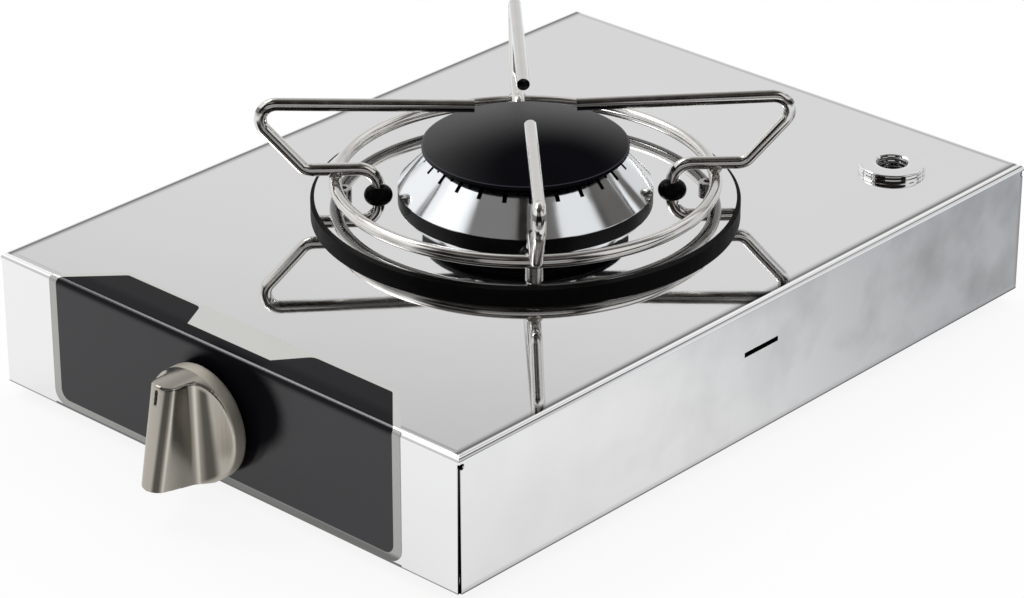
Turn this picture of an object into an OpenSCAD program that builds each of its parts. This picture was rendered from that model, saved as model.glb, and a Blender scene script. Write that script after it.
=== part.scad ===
// Single-burner tabletop gas stove: a low folded stainless box with one burner,
// a wire pot support on a raised round plate, a front control panel and one gas tap.
// Millimetres. +Z is up, the control knob faces -Y, and the origin lies on the
// resting plane, at the centre of the four feet.

/* [Casing] */
// Width of the folded casing, side to side
body_w = 255; // [240:1:290]
// Depth of the folded casing, front to back
body_d = 350; // [335:1:390]
// Height of the folded casing, without the base plate and feet
body_h = 58; // [55:1:75]
// Thickness of the casing sheet
sheet_t = 1; // [0.8:0.1:1.5]
// Outer radius of the folded top edges
bend_r = 2.6; // [2:0.2:5]
// Gap at each open upright corner: either flange stops this far past the other one's thickness
seam_gap = 0.1; // [0.05:0.05:1]
// Radius of the round relief at the top of each seam
relief_r = 1.3; // [0.8:0.1:2]
// Width of the inward lip along the bottom edges
lip_w = 13; // [11:0.5:16]
// Length of the ventilation slot in each side
slot_len = 20.8; // [10:0.2:40]
// Height of the ventilation slot in each side
slot_h = 2.2; // [1:0.1:4]
// Height of that slot above the bottom edge of the casing
slot_z = 37.7; // [20:0.5:42]

/* [Base and feet] */
// Thickness of the base plate
base_t = 0.8; // [0.6:0.1:1.5]
// Play between the base plate's edge and the casing's edge
base_margin = 2; // [1:0.5:4]
// Diameter of a rubber foot
foot_d = 18; // [14:1:24]
// Height of a rubber foot
foot_h = 5.2; // [4.6:0.2:10]
// Distance of a foot's centre from the casing's outside faces
foot_inset = 30; // [26:1:34]
// Length of an air slot in the base plate
vent_len = 34; // [20:1:40]
// Width of an air slot in the base plate
vent_w = 5; // [3:0.5:6]

/* [Control panel] */
// Width of the printed control panel film
film_w = 195; // [180:1:215]
// Thickness of the film
film_t = 0.25; // [0.1:0.05:0.4]
// How far the film reaches back over the top of the casing
film_top = 22.8; // [18:0.2:28]
// Height of the film's lower edge above the casing's bottom edge
film_low = 1.2; // [0.5:0.1:4]
// Radius of the film's lower corners
film_corner_r = 6; // [3:0.5:10]
// How far the film's ends run straight back over the top before they slant inwards
film_end = 0.6; // [0.2:0.2:12]

/* [Burner plate] */
// Sideways place of the burner's axis from the middle of the casing
burner_x = -3; // [-5:0.5:5]
// Place of the burner's axis from the middle of the casing towards the back
burner_y = 4; // [-5:0.5:6]
// Radius of the raised round burner plate
disc_r = 87.6; // [84:0.2:89]
// Height of the round plate's upper face above the casing's top
disc_rise = 4.8; // [4.6:0.1:6]
// Thickness of the round plate
disc_t = 1; // [0.8:0.1:1.4]
// Outer radius of the black riser ring under the round plate
riser_r = 89.3; // [89.2:0.1:92]
// Wall thickness of the riser ring
riser_wall = 3.4; // [2.6:0.2:4.2]
// Gap between a plate screw's spacer and the riser ring
spacer_gap = 6.4; // [6:0.1:7.4]
// Turn of the arms, screws and grommets from the X axis
star_angle = 45; // [45]

/* [Pot support] */
// Diameter of the support's wire
wire_d = 5.4; // [4.6:0.1:5.4]
// Radius of the support ring, to the middle of the wire
ring_r = 78.7; // [78:0.1:80]
// Height of the ring's middle above the casing's top
ring_rise = 11.3; // [11.3:0.1:13]
// Radius at which an arm's inner end is cut off
arm_in_r = 21; // [20:0.5:30]
// Height of an arm's inner end above the casing's top
arm_in_rise = 44.2; // [42:0.1:48]
// Height of an arm's outer end above the casing's top
arm_out_rise = 46.8; // [44:0.1:50]
// Radius of the point where an arm's top bar would meet its sloping strut
arm_out_r = 117; // [112:0.2:122]
// Radius at which the sloping strut meets the foot bar
arm_low_r = 91; // [88:0.2:96]
// Inside-to-middle radius of the bend at an arm's outer end
arm_nose_r = 6.6; // [5:0.2:9]
// Radius of the circle on which the arms' curled ends stand
arm_curl_r = 61; // [60.5:0.1:62]
// Sideways lean of the front arm about its grommet, in degrees
front_arm_lean = 1.1; // [0:0.1:1.2]
// Turn of the front arm about its curled end, in degrees
front_arm_turn = 0.3; // [0:0.1:0.5]

/* [Grommets] */
// Diameter of a rubber grommet's dome
grommet_d = 12; // [11:0.5:13]
// Height of a grommet's dome above the round plate
grommet_rise = 4; // [3:0.1:5]

/* [Burner] */
// Radius of the black burner body's flange
burner_flange_r = 53; // [50:0.2:54]
// Height of the flange's upper face above the casing's top
burner_flange_rise = 7.9; // [7.8:0.1:9]
// Outer radius of the burner cup
cup_r = 38; // [37:0.5:39]
// Depth of the burner cup below the casing's top
cup_depth = 14; // [12:0.5:16]
// Lower radius of the conical flame spreader
cone_low_r = 53; // [50:0.2:53]
// Upper radius of the conical flame spreader
cone_top_r = 39; // [38:0.2:40]
// Height of the flame spreader
cone_h = 14.6; // [13:0.2:16]
// Number of flame slots
port_count = 24; // [18:1:30]
// Width of a flame slot
port_w = 1.9; // [1:0.1:2.2]
// Depth of a flame slot from the spreader's upper edge
port_depth = 3.4; // [2.5:0.1:5]
// Radius of the black burner cap
cap_r = 43; // [42:0.2:44.5]
// Height of the cap's rim above the flame spreader
cap_neck_h = 2.7; // [2:0.1:4]
// Thickness of the cap at its rim
cap_rim_t = 1.4; // [1:0.1:3]
// Rise of the cap's dome above its rim
cap_dome = 3.6; // [2:0.1:5]

/* [Knob] */
// Sideways place of the tap and knob from the middle of the front
knob_x = -5.5; // [-30:0.5:30]
// Height of the knob's axis above the casing's bottom edge
knob_z = 27.3; // [26:0.1:30]
// Radius of the knob
knob_r = 24; // [22:0.2:24]
// Gap between the knob and the front face
knob_gap = 3.6; // [3.5:0.1:5]
// Travel of the knob as it is pushed in
push_travel = 2.8; // [2:0.1:3]
// Depth of the knob's round skirt
skirt_t = 6.3; // [5:0.1:8]
// Height of the knob's grip above the front face, at the middle
grip_reach = 31.6; // [29:0.1:34]
// Lean of the grip's front, so that its foot stands further out
grip_tilt = 10.3; // [6:0.1:12]
// Half width of the grip at its nose
grip_half_w = 6.2; // [5.8:0.1:7.5]
// Turning range of the knob, from off to low
knob_turn = 210; // [180:5:270]

/* [Gas tap and pipes] */
// Radius of the tap's spindle
spindle_r = 3; // [2.5:0.1:3.2]
// Radius of the tap's threaded neck
neck_r = 6.5; // [6:0.1:7]
// Radius of the tap's barrel
barrel_r = 10; // [9:0.1:11]
// Length of the tap's barrel behind the front
barrel_len = 36; // [34:0.5:42]
// Outer radius of a gas pipe
pipe_r = 3; // [2:0.1:3]
// Sideways place of the inlet fitting in the back
inlet_x = -64; // [-90:1:-60]
// Radius of the inlet fitting's outer thread
inlet_r = 6.58; // [6:0.02:7]
// Length of the inlet fitting's thread outside the casing
inlet_len = 12; // [9:0.5:16]

/* [Threaded bush] */
// Distance of the bush's centre from the casing's right side
bush_from_side = 39; // [32:0.5:42]
// Distance of the bush's centre from the casing's back
bush_from_back = 41.5; // [34:0.5:50]
// Outer radius of the bush
bush_r = 14.3; // [12:0.1:16]
// Height of the bush above the top
bush_rise = 3; // [2:0.1:6]
// Radius of the threaded hole through the bush
bush_hole_r = 6.3; // [5:0.1:7]

/* [Hidden] */
$fn = 96;

// Heights of the casing's bottom edge and of its upper face
floor_z = foot_h + base_t;
top_z = floor_z + body_h;
// Clearances: pieces that stay put, sliding fits, loose pieces and cutting overrun
fit = 0.05;
loose = 0.3;
over = 1;
// A bent rod: extra radius of its bends, and how far its straight legs run into them
bend_swell = 0.01;
bend_lap = 0.08;

// Screws of the M4 kind
m4_r = 2;
m4_hole_r = 2.2;
m4_head_r = 3.6;
m4_head_h = 3.5;
m4_nut_r = 4.04;
m4_nut_h = 3.2;
hex_socket_r = 1.75;
pan_head_h = 2.2;
tap_screw_r = 1.75;
tap_screw_end = 5;
spacer_r = 4;

STAR = [for (k = [0:3]) star_angle + 90 * k];
FEET = [for (sx = [-1, 1], sy = [-1, 1]) [sx * (body_w / 2 - foot_inset), sy * (body_d / 2 - foot_inset)]];
lip_mid = sheet_t + base_margin + (lip_w - sheet_t - base_margin) / 2;
BASE_SCREWS = concat(
    [for (sx = [-1, 1], sy = [-1, 0, 1]) [sx * (body_w / 2 - lip_mid), sy * body_d * 0.36]],
    [for (sy = [-1, 1]) [0, sy * (body_d / 2 - lip_mid)]]
);

// Places of the threaded bush and of the plate's screws
bush_x = body_w / 2 - bush_from_side;
bush_y = body_d / 2 - bush_from_back;
disc_screw_pitch_r = riser_r - riser_wall - spacer_gap - spacer_r;

// Seat heights of the round plate and of what stands on it
disc_top = top_z + disc_rise;
disc_low = disc_top - disc_t;
flange_top = top_z + burner_flange_rise;
cone_z = flange_top + loose / 2;
cone_top = cone_z + cone_h;
cap_z = cone_top + loose / 2;
port_turn = 0.6;
burner_screw_pitch_r = (cup_r + burner_flange_r) / 2;
cup_wall = 2;
cup_gap = 1.5;
tube_r = 9.6;
tube_wall = 1.6;
neck_tube_wall = 1.3;

// The tap's axis and what is strung along it, measured inwards from the front face
tap_z = floor_z + knob_z;
front_y = -body_d / 2;
tap_flange_t = 3;
chamber_r = barrel_r - 2.8;
chamber_at = tap_flange_t + sheet_t + 4;
neck_out = 4.2;
plug_t = 3;
inlet_at = 18;
outlet_at = 27;
port_r = 5.6;
port_reach = 17;
pipe_nut_r = 6.4;
pipe_nut_len = 7;
socket_depth = 5;
spindle_out = 21;
spindle_flange_t = 2;
pin_head_t = 2;
pin_rod_r = 1.5;
pin_rod_len = 12;
spring_wire = 0.9;
spring_mean_r = 4.2;
spring_turns = 5;
spindle_flange_at = chamber_at + loose;
pin_at = spindle_flange_at + spindle_flange_t + fit;
spring_at = pin_at + pin_head_t + spring_wire / 2 + fit;
spring_end = sheet_t + barrel_len - plug_t - push_travel - loose - spring_wire / 2;

// The knob, measured outwards from the front face
skirt_front = knob_gap + skirt_t;
hub_r = 4.8;
hub_from = neck_out + push_travel + 0.5;
hub_to = spindle_out + 1.2;
cavity_r = knob_r - 2.6;
cavity_to = skirt_front - 2;
flat_from_axis = spindle_r * 0.62;
pointer_len = 6;
pointer_w = 1.1;
pointer_depth = 0.8;

// The injector under the burner cup
holder_r = 8;
holder_z = tap_z;
holder_h = 12;
jet_r = 3;
bracket_t = 1.6;
bracket_w = 18;
bracket_y = 20;
bracket_foot = 12;
cup_floor_z = top_z - cup_depth;
holder_top = holder_z + holder_h / 2;
holder_low = holder_z - holder_h / 2;
boss_h = 4.5;
bracket_screw_y = bracket_y + bracket_foot - 6;

// ---------------------------------------------------------------- shared shapes

module tube(r, hole_r, h) {
    difference() {
        cylinder(r = r, h = h);
        translate([0, 0, -over]) cylinder(r = hole_r, h = h + 2 * over);
    }
}

module hex_nut(corner_r, hole_r, h) {
    difference() {
        cylinder(r = corner_r, h = h, $fn = 6);
        translate([0, 0, -over]) cylinder(r = hole_r, h = h + 2 * over);
    }
}

// Socket screw, head up, its seat at z = 0 and its shank below
module socket_screw(length) {
    difference() {
        union() {
            cylinder(r = m4_head_r, h = m4_head_h - 0.3);
            translate([0, 0, m4_head_h - 0.3]) cylinder(r1 = m4_head_r, r2 = m4_head_r - 0.3, h = 0.3);
            translate([0, 0, -length]) cylinder(r = m4_r, h = length + fit);
        }
        translate([0, 0, m4_head_h - 2]) cylinder(r = hex_socket_r, h = 3, $fn = 6);
    }
}

// Pan-head screw, head down, its seat at z = 0 and its shank above
module pan_screw(length, shank_r, head_r) {
    difference() {
        union() {
            translate([0, 0, -pan_head_h]) cylinder(r1 = head_r - 0.6, r2 = head_r, h = pan_head_h);
            translate([0, 0, -fit]) cylinder(r = shank_r, h = length);
        }
        for (turn = [0, 90])
            rotate([0, 0, turn]) translate([-head_r * 0.6, -0.5, -pan_head_h - over])
                cube([head_r * 1.2, 1, over + 1]);
    }
}

// Square with two rounded upper corners, standing on y = 0 and centred in x
module arch(w, h, r) {
    translate([-w / 2, 0]) square([w, h - r]);
    translate([-w / 2 + r, 0]) square([w - 2 * r, h]);
    for (side = [-1, 1]) translate([side * (w / 2 - r), h - r]) circle(r);
}

// Box with rounded top edges, between two heights, grown or shrunk all over by grow
module folded_box(low, grow) {
    w = body_w + 2 * grow;
    d = body_d + 2 * grow;
    r = bend_r + grow;
    high = top_z + grow - low;
    translate([0, 0, low]) intersection() {
        rotate([90, 0, 0]) linear_extrude(height = d, center = true) arch(w, high, r);
        rotate([90, 0, 90]) linear_extrude(height = w, center = true) arch(d, high, r);
    }
}

// Turns of a flat path at its inner points, and how much of each leg a bend uses up
function leg_angle(path, i) = atan2(path[i + 1][1] - path[i][1], path[i + 1][0] - path[i][0]);
function leg_turn(path, i) = let (t = leg_angle(path, i) - leg_angle(path, i - 1)) t - 360 * round(t / 360);
function leg_trim(path, bends, i) =
    i <= 0 || i >= len(path) - 1 ? 0 : bends[i - 1] * tan(abs(leg_turn(path, i)) / 2);

// Round rod or pipe along a flat path in the XY plane, with one bend radius per inner point
module bent_rod(path, bends, r) {
    translate([path[0][0], path[0][1], 0]) rotate([0, 0, leg_angle(path, 0)]) rod_leg(path, bends, r, 0);
}

// One leg of a bent rod along x, the bend after it, and the rest of the rod from there;
// each bend is a hair thicker than the legs that end in it
module rod_leg(path, bends, r, i) {
    length = norm(path[i + 1] - path[i]) - leg_trim(path, bends, i) - leg_trim(path, bends, i + 1);
    lap_before = i > 0 ? bend_lap : 0;
    lap_after = i < len(path) - 2 ? bend_lap : 0;
    translate([-lap_before, 0, 0]) rotate([0, 90, 0])
        cylinder(r = r, h = lap_before + length + lap_after, $fn = 32);
    if (i < len(path) - 2) {
        turn = leg_turn(path, i + 1);
        side = sign(turn);
        translate([length, side * bends[i], 0]) {
            rotate([0, 0, -90 * side]) rotate_extrude(angle = turn)
                translate([bends[i], 0]) circle(r = r + bend_swell, $fn = 32);
            rotate([0, 0, turn]) translate([0, -side * bends[i], 0]) rod_leg(path, bends, r, i + 1);
        }
    }
}

// Places a child whose z runs inwards from the front face, along the tap's axis
module along_tap(inwards) {
    translate([knob_x, front_y + inwards, tap_z]) rotate([-90, 0, 0]) children();
}

// Places a child whose z axis is the burner's axis
module at_burner() {
    translate([burner_x, burner_y, 0]) children();
}

// Places a child whose z runs outwards from the front face, with its y upwards
module out_of_front() {
    translate([knob_x, front_y, tap_z]) rotate([90, 0, 0]) children();
}

// ---------------------------------------------------------------- casing and base

module casing() {
    inside = body_d / 2 - sheet_t;
    color("gainsboro") difference() {
        folded_box(floor_z, 0);
        folded_box(floor_z + sheet_t, -sheet_t);
        translate([-body_w / 2 + lip_w, -body_d / 2 + lip_w, floor_z - over])
            cube([body_w - 2 * lip_w, body_d - 2 * lip_w, sheet_t + 2 * over]);
        at_burner() {
            translate([0, 0, top_z - sheet_t - over]) cylinder(r = cup_r + cup_gap, h = sheet_t + 2 * over);
            for (a = STAR) rotate([0, 0, a]) translate([disc_screw_pitch_r, 0, top_z - sheet_t - over])
                cylinder(r = m4_hole_r, h = sheet_t + 2 * over, $fn = 32);
        }
        translate([bush_x, bush_y, top_z - sheet_t - over])
            cylinder(r = bush_neck_r + fit, h = sheet_t + 2 * over);
        along_tap(-over) cylinder(r = neck_r + fit, h = sheet_t + 2 * over);
        translate([inlet_x, inside - over, tap_z]) rotate([-90, 0, 0])
            cylinder(r = inlet_r + fit, h = sheet_t + 2 * over);
        for (side = [-1, 1]) translate([side * (body_w / 2 - sheet_t / 2), 0, floor_z + slot_z])
            cube([sheet_t + 2 * over, slot_len, slot_h], center = true);
        for (sx = [-1, 1], sy = [-1, 1]) corner_seam(sx, sy);
        for (p = BASE_SCREWS) translate([p[0], p[1], floor_z - over])
            cylinder(r = tap_screw_r + fit, h = sheet_t + 2 * over, $fn = 32);
    }
}

// Open seam between two flanges at one corner, with a round relief in the side flange at its top
module corner_seam(sx, sy) {
    corner = [sx * body_w / 2, sy * body_d / 2];
    seam_top = floor_z + body_h - bend_r;
    seam_w = sheet_t + seam_gap;
    relief_y = corner.y - sy * (seam_w + relief_r / 3);
    translate([corner.x, corner.y, (floor_z + seam_top - over) / 2])
        cube([2 * seam_w, 2 * seam_w, seam_top - floor_z + over], center = true);
    translate([corner.x, relief_y, seam_top - relief_r]) rotate([0, 90, 0])
        cylinder(r = relief_r, h = 2 * (sheet_t + over), center = true, $fn = 32);
}

module base_plate() {
    w = body_w - 2 * base_margin;
    d = body_d - 2 * base_margin;
    corner = 5;
    color("silver") difference() {
        translate([0, 0, foot_h]) linear_extrude(height = base_t) {
            square([w - 2 * corner, d], center = true);
            square([w, d - 2 * corner], center = true);
            for (sx = [-1, 1], sy = [-1, 1]) translate([sx * (w / 2 - corner), sy * (d / 2 - corner)])
                circle(corner);
        }
        for (p = FEET) translate([p[0], p[1], foot_h - over])
            cylinder(r = m4_hole_r, h = base_t + 2 * over, $fn = 32);
        for (p = BASE_SCREWS) translate([p[0], p[1], foot_h - over])
            cylinder(r = tap_screw_r + fit, h = base_t + 2 * over, $fn = 32);
        for (sx = [-1, 1], k = [-3:3]) translate([sx * vent_len * 0.75, k * 3 * vent_w, foot_h + base_t / 2])
            rounded_slot(vent_len, vent_w, base_t + 2 * over);
    }
}

// Slot along x with round ends, centred
module rounded_slot(length, w, h) {
    cube([length - w, w, h], center = true);
    for (side = [-1, 1]) translate([side * (length - w) / 2, 0, 0])
        cylinder(d = w, h = h, center = true, $fn = 32);
}

module base_screws() {
    color("dimgray") for (p = BASE_SCREWS) translate([p[0], p[1], foot_h])
        pan_screw(base_t + sheet_t + tap_screw_end, tap_screw_r, 3.3);
}

module rubber_feet() {
    recess = pan_head_h + 0.8;
    color("black") for (p = FEET) translate([p[0], p[1], 0]) difference() {
        union() {
            cylinder(r1 = foot_d / 2 - 1, r2 = foot_d / 2, h = 1);
            translate([0, 0, 1]) cylinder(r1 = foot_d / 2, r2 = foot_d / 2 - 0.6, h = foot_h - 1);
        }
        translate([0, 0, -over]) cylinder(r = m4_hole_r, h = foot_h + 2 * over, $fn = 32);
        translate([0, 0, -over]) cylinder(r = m4_head_r + 0.6, h = recess + over, $fn = 48);
    }
}

module foot_screws() {
    recess = pan_head_h + 0.8;
    color("silver") for (p = FEET) translate([p[0], p[1], recess])
        pan_screw(foot_h - recess + base_t + m4_nut_h + 1, m4_r, m4_head_r);
}

module foot_nuts() {
    color("silver") for (p = FEET) translate([p[0], p[1], floor_z]) hex_nut(m4_nut_r, m4_r + fit, m4_nut_h);
}

// ---------------------------------------------------------------- control panel

// The film's outline over the top: slanted ends, seen from above
module film_plan() {
    back = front_y + film_top;
    film_slant = film_top - film_end;
    polygon([
        [-film_w / 2, front_y - over],
        [-film_w / 2, back - film_slant],
        [-film_w / 2 + film_slant, back],
        [film_w / 2 - film_slant, back],
        [film_w / 2, back - film_slant],
        [film_w / 2, front_y - over]
    ]);
}

// The film's outline on the front: rounded lower corners, seen from the front
module film_face() {
    low = floor_z + film_low;
    translate([-film_w / 2, low + film_corner_r]) square([film_w, body_h]);
    translate([-film_w / 2 + film_corner_r, low]) square([film_w - 2 * film_corner_r, body_h]);
    for (side = [-1, 1]) translate([side * (film_w / 2 - film_corner_r), low + film_corner_r])
        circle(film_corner_r);
}

module panel_film() {
    color([0.1, 0.1, 0.11]) difference() {
        intersection() {
            difference() {
                folded_box(floor_z, film_t);
                folded_box(floor_z - over, 0);
            }
            translate([0, 0, floor_z]) linear_extrude(height = body_h + 2 * over) film_plan();
            translate([0, front_y + film_top + over, 0]) rotate([90, 0, 0])
                linear_extrude(height = film_top + 3 * over) film_face();
        }
        along_tap(-over) cylinder(r = neck_r + fit, h = 2 * over);
    }
}

// ---------------------------------------------------------------- raised burner plate

module riser_ring() {
    color([0.06, 0.06, 0.06]) translate([0, 0, top_z])
        tube(riser_r, riser_r - riser_wall, disc_rise - disc_t);
}

module burner_plate() {
    color("gainsboro") difference() {
        translate([0, 0, disc_low]) tube(disc_r, cup_r + cup_gap, disc_t);
        for (a = STAR) rotate([0, 0, a]) {
            translate([disc_screw_pitch_r, 0, disc_low - over])
                cylinder(r = m4_hole_r, h = disc_t + 2 * over, $fn = 32);
            translate([arm_curl_r, 0, disc_low - over])
                cylinder(r = grommet_neck_r + fit, h = disc_t + 2 * over, $fn = 48);
        }
        for (k = [0:2]) rotate([0, 0, 120 * k]) translate([burner_screw_pitch_r, 0, disc_low - over])
            cylinder(r = m4_hole_r, h = disc_t + 2 * over, $fn = 32);
    }
}

module plate_spacers() {
    color("silver") for (a = STAR) rotate([0, 0, a]) translate([disc_screw_pitch_r, 0, top_z])
        tube(spacer_r, m4_hole_r, disc_rise - disc_t);
}

module plate_screws() {
    color("silver") for (a = STAR) rotate([0, 0, a]) translate([disc_screw_pitch_r, 0, disc_top])
        socket_screw(disc_rise + sheet_t + m4_nut_h + 1);
}

module plate_nuts() {
    color("silver") for (a = STAR) rotate([0, 0, a])
        translate([disc_screw_pitch_r, 0, top_z - sheet_t - m4_nut_h])
        hex_nut(m4_nut_r, m4_r + fit, m4_nut_h);
}

// Rubber grommet: a round-edged dome above the plate, a neck through it and a flange below it
grommet_neck_r = 4.3;
grommet_bore_r = wire_d / 2 + 0.1;
grommet_flange_r = 5.6;
grommet_under = disc_rise - disc_t - 2.6;
module grommets() {
    r = grommet_d / 2;
    color([0.05, 0.05, 0.05]) for (a = STAR) rotate([0, 0, a]) translate([arm_curl_r, 0, 0]) difference() {
        union() {
            translate([0, 0, disc_top]) rotate_extrude() intersection() {
                square([r, grommet_rise]);
                union() {
                    square([r - grommet_rise, grommet_rise]);
                    translate([r - grommet_rise, 0]) circle(r = grommet_rise, $fn = 48);
                }
            }
            translate([0, 0, disc_low - fit]) cylinder(r = grommet_neck_r, h = disc_t + 2 * fit, $fn = 48);
            translate([0, 0, disc_low - grommet_under])
                cylinder(r = grommet_flange_r, h = grommet_under, $fn = 48);
        }
        translate([0, 0, disc_low - grommet_under - over])
            cylinder(r = grommet_bore_r, h = grommet_rise + disc_t + grommet_under + 2 * over, $fn = 48);
    }
}

// ---------------------------------------------------------------- pot support

arm_bar_rise = ring_rise + wire_d;
arm_curl_bend = 8;
arm_low_bend = 6;
// Path of one arm, as distance from the burner's axis and height above the casing's top
ARM = [
    [arm_in_r, arm_in_rise],
    [arm_out_r, arm_out_rise],
    [arm_low_r, arm_bar_rise],
    [arm_curl_r, arm_bar_rise],
    [arm_curl_r, disc_rise - disc_t]
];

module support_ring() {
    color("silver") translate([0, 0, top_z + ring_rise]) rotate_extrude()
        translate([ring_r, 0]) circle(d = wire_d, $fn = 32);
}

// One bent arm; its lean and turn leave its curled end where it is, in the grommet
module support_arm(index, lean = 0, turn = 0) {
    pivot_z = disc_rise + grommet_rise / 2;
    color("silver") rotate([0, 0, STAR[index]]) translate([arm_curl_r, 0, top_z + pivot_z])
        rotate([-lean, 0, -turn]) translate([-arm_curl_r, 0, -pivot_z])
            rotate([90, 0, 0]) bent_rod(ARM, [arm_nose_r, arm_low_bend, arm_curl_bend], wire_d / 2);
}

// ---------------------------------------------------------------- burner

module burner_cup() {
    floor_t = 1.6;
    floor_low = cup_floor_z;
    tube_top = top_z - 2;
    tube_low = cup_floor_z - 6;
    counterbore_z = flange_top - pan_head_h - 0.1;
    color([0.08, 0.08, 0.08]) difference() {
        union() {
            translate([0, 0, disc_top]) cylinder(r = burner_flange_r, h = flange_top - disc_top);
            translate([0, 0, floor_low]) cylinder(r = cup_r, h = flange_top - floor_low);
            translate([0, 0, tube_low]) cylinder(r = tube_r, h = cup_floor_z - tube_low + floor_t);
        }
        difference() {
            translate([0, 0, floor_low + floor_t])
                cylinder(r = cup_r - cup_wall, h = flange_top - floor_low);
            translate([0, 0, floor_low]) cylinder(r = tube_r, h = tube_top - floor_low);
            for (side = [-1, 1]) translate([0, side * bracket_screw_y, floor_low])
                cylinder(r = 4.5, h = floor_t + boss_h);
        }
        translate([0, 0, tube_low - over]) cylinder(r = tube_r - tube_wall, h = body_h);
        for (side = [-1, 1]) translate([0, side * bracket_screw_y, floor_low - over])
            cylinder(r = m4_r + fit, h = floor_t + boss_h + 2 * over, $fn = 32);
        for (k = [0:2]) rotate([0, 0, 120 * k]) translate([burner_screw_pitch_r, 0, 0]) {
            translate([0, 0, disc_low]) cylinder(r = m4_hole_r, h = flange_top - disc_low + over, $fn = 32);
            translate([0, 0, counterbore_z])
                cylinder(r = m4_head_r + fit, h = flange_top - counterbore_z + over, $fn = 48);
        }
    }
}

module burner_screws() {
    head_z = flange_top - pan_head_h - 0.1;
    color("silver") for (k = [0:2]) rotate([0, 0, 120 * k]) translate([burner_screw_pitch_r, 0, head_z])
        rotate([180, 0, 0]) pan_screw(head_z - disc_low + m4_nut_h + 0.4, m4_r, m4_head_r);
}

module burner_nuts() {
    color("silver") for (k = [0:2]) rotate([0, 0, 120 * k])
        translate([burner_screw_pitch_r, 0, disc_low - m4_nut_h]) hex_nut(m4_nut_r, m4_r + fit, m4_nut_h);
}

// The flame spreader's upright lower edge, the width of the seat at its top, and its radius at a height
cone_lip = 0.3;
cone_seat_w = 4;
function cone_r(z) =
    cone_low_r - (z - cone_z - cone_lip) * (cone_low_r - cone_top_r) / (cone_h - cone_lip);

// Crown with a conical wall, a floor and a neck that plugs into the cup's mixing tube
module flame_spreader() {
    wall = 2.2;
    floor_t = 1.8;
    seat_t = 1.4;
    notch = [1.4, 1];
    neck_r_out = tube_r - tube_wall - loose;
    neck_low = top_z - 4;
    floor_top = cone_z + floor_t;
    seat_low = cone_top - seat_t;
    seat_r = cone_top_r - cone_seat_w;
    slot_len = cone_low_r - seat_r;
    color("whitesmoke") difference() {
        union() {
            rotate_extrude() polygon([
                [0, cone_z],
                [cone_low_r, cone_z],
                [cone_low_r, cone_z + cone_lip],
                [cone_top_r, cone_top],
                [seat_r, cone_top],
                [seat_r, seat_low],
                [cone_r(seat_low) - wall, seat_low],
                [cone_r(floor_top) - wall, floor_top],
                [0, floor_top]
            ]);
            translate([0, 0, neck_low]) cylinder(r = neck_r_out, h = cone_z - neck_low + floor_t);
        }
        translate([0, 0, neck_low - over])
            cylinder(r = neck_r_out - neck_tube_wall, h = cone_z - neck_low + floor_t + 2 * over);
        for (k = [0:port_count - 1]) rotate([0, 0, 360 / port_count * k + port_turn]) {
            translate([seat_r - over, -port_w / 2, cone_top - port_depth])
                cube([slot_len, port_w, port_depth + over]);
            rotate([0, 0, 180 / port_count])
                translate([cone_top_r - seat_t, -notch[0] / 2, cone_top - notch[1]])
                    cube([slot_len, notch[0], notch[1] + over]);
        }
    }
}

// Black domed cap on a neck that rests on the spreader, with a locating collar below
module burner_cap() {
    dome_r = (cap_r * cap_r + cap_dome * cap_dome) / (2 * cap_dome);
    collar_r = cone_top_r - cone_seat_w - 0.4;
    collar_h = 3;
    neck_r_out = cone_top_r - 1.2;
    collar_wall = 1.8;
    cap_top = cap_neck_h + cap_rim_t + cap_dome;
    color([0.07, 0.07, 0.08]) translate([0, 0, cap_z]) {
        rotate_extrude() intersection() {
            translate([0, cap_neck_h]) square([cap_r, cap_rim_t + cap_dome]);
            translate([0, cap_top - dome_r]) circle(r = dome_r, $fn = 360);
        }
        tube(neck_r_out, collar_r - collar_wall, cap_neck_h + fit);
        translate([0, 0, -collar_h]) tube(collar_r, collar_r - collar_wall, collar_h + fit);
    }
}

module injector_bracket() {
    foot_z = cup_floor_z - bracket_t;
    low_z = holder_low - bracket_t;
    leg_h = foot_z - low_z + bracket_t;
    color("lightgray") difference() {
        union() {
            translate([-bracket_w / 2, -bracket_y, low_z]) cube([bracket_w, 2 * bracket_y, bracket_t]);
            for (side = [-1, 1]) {
                translate([-bracket_w / 2, side * bracket_y - bracket_t / 2, low_z])
                    cube([bracket_w, bracket_t, leg_h]);
                foot_y = side > 0 ? bracket_y - bracket_t / 2 : -bracket_y - bracket_foot;
                translate([-bracket_w / 2, foot_y, foot_z])
                    cube([bracket_w, bracket_foot + bracket_t / 2, bracket_t]);
            }
        }
        translate([0, 0, low_z - over]) cylinder(r = 5 + fit, h = bracket_t + 2 * over, $fn = 48);
        for (side = [-1, 1]) translate([0, side * bracket_screw_y, foot_z - over])
            cylinder(r = m4_hole_r, h = bracket_t + 2 * over, $fn = 32);
    }
}

module bracket_screws() {
    color("silver") for (side = [-1, 1]) translate([0, side * bracket_screw_y, cup_floor_z - bracket_t])
        pan_screw(bracket_t + 1.6 + boss_h - 0.5, m4_r, m4_head_r);
}

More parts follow.
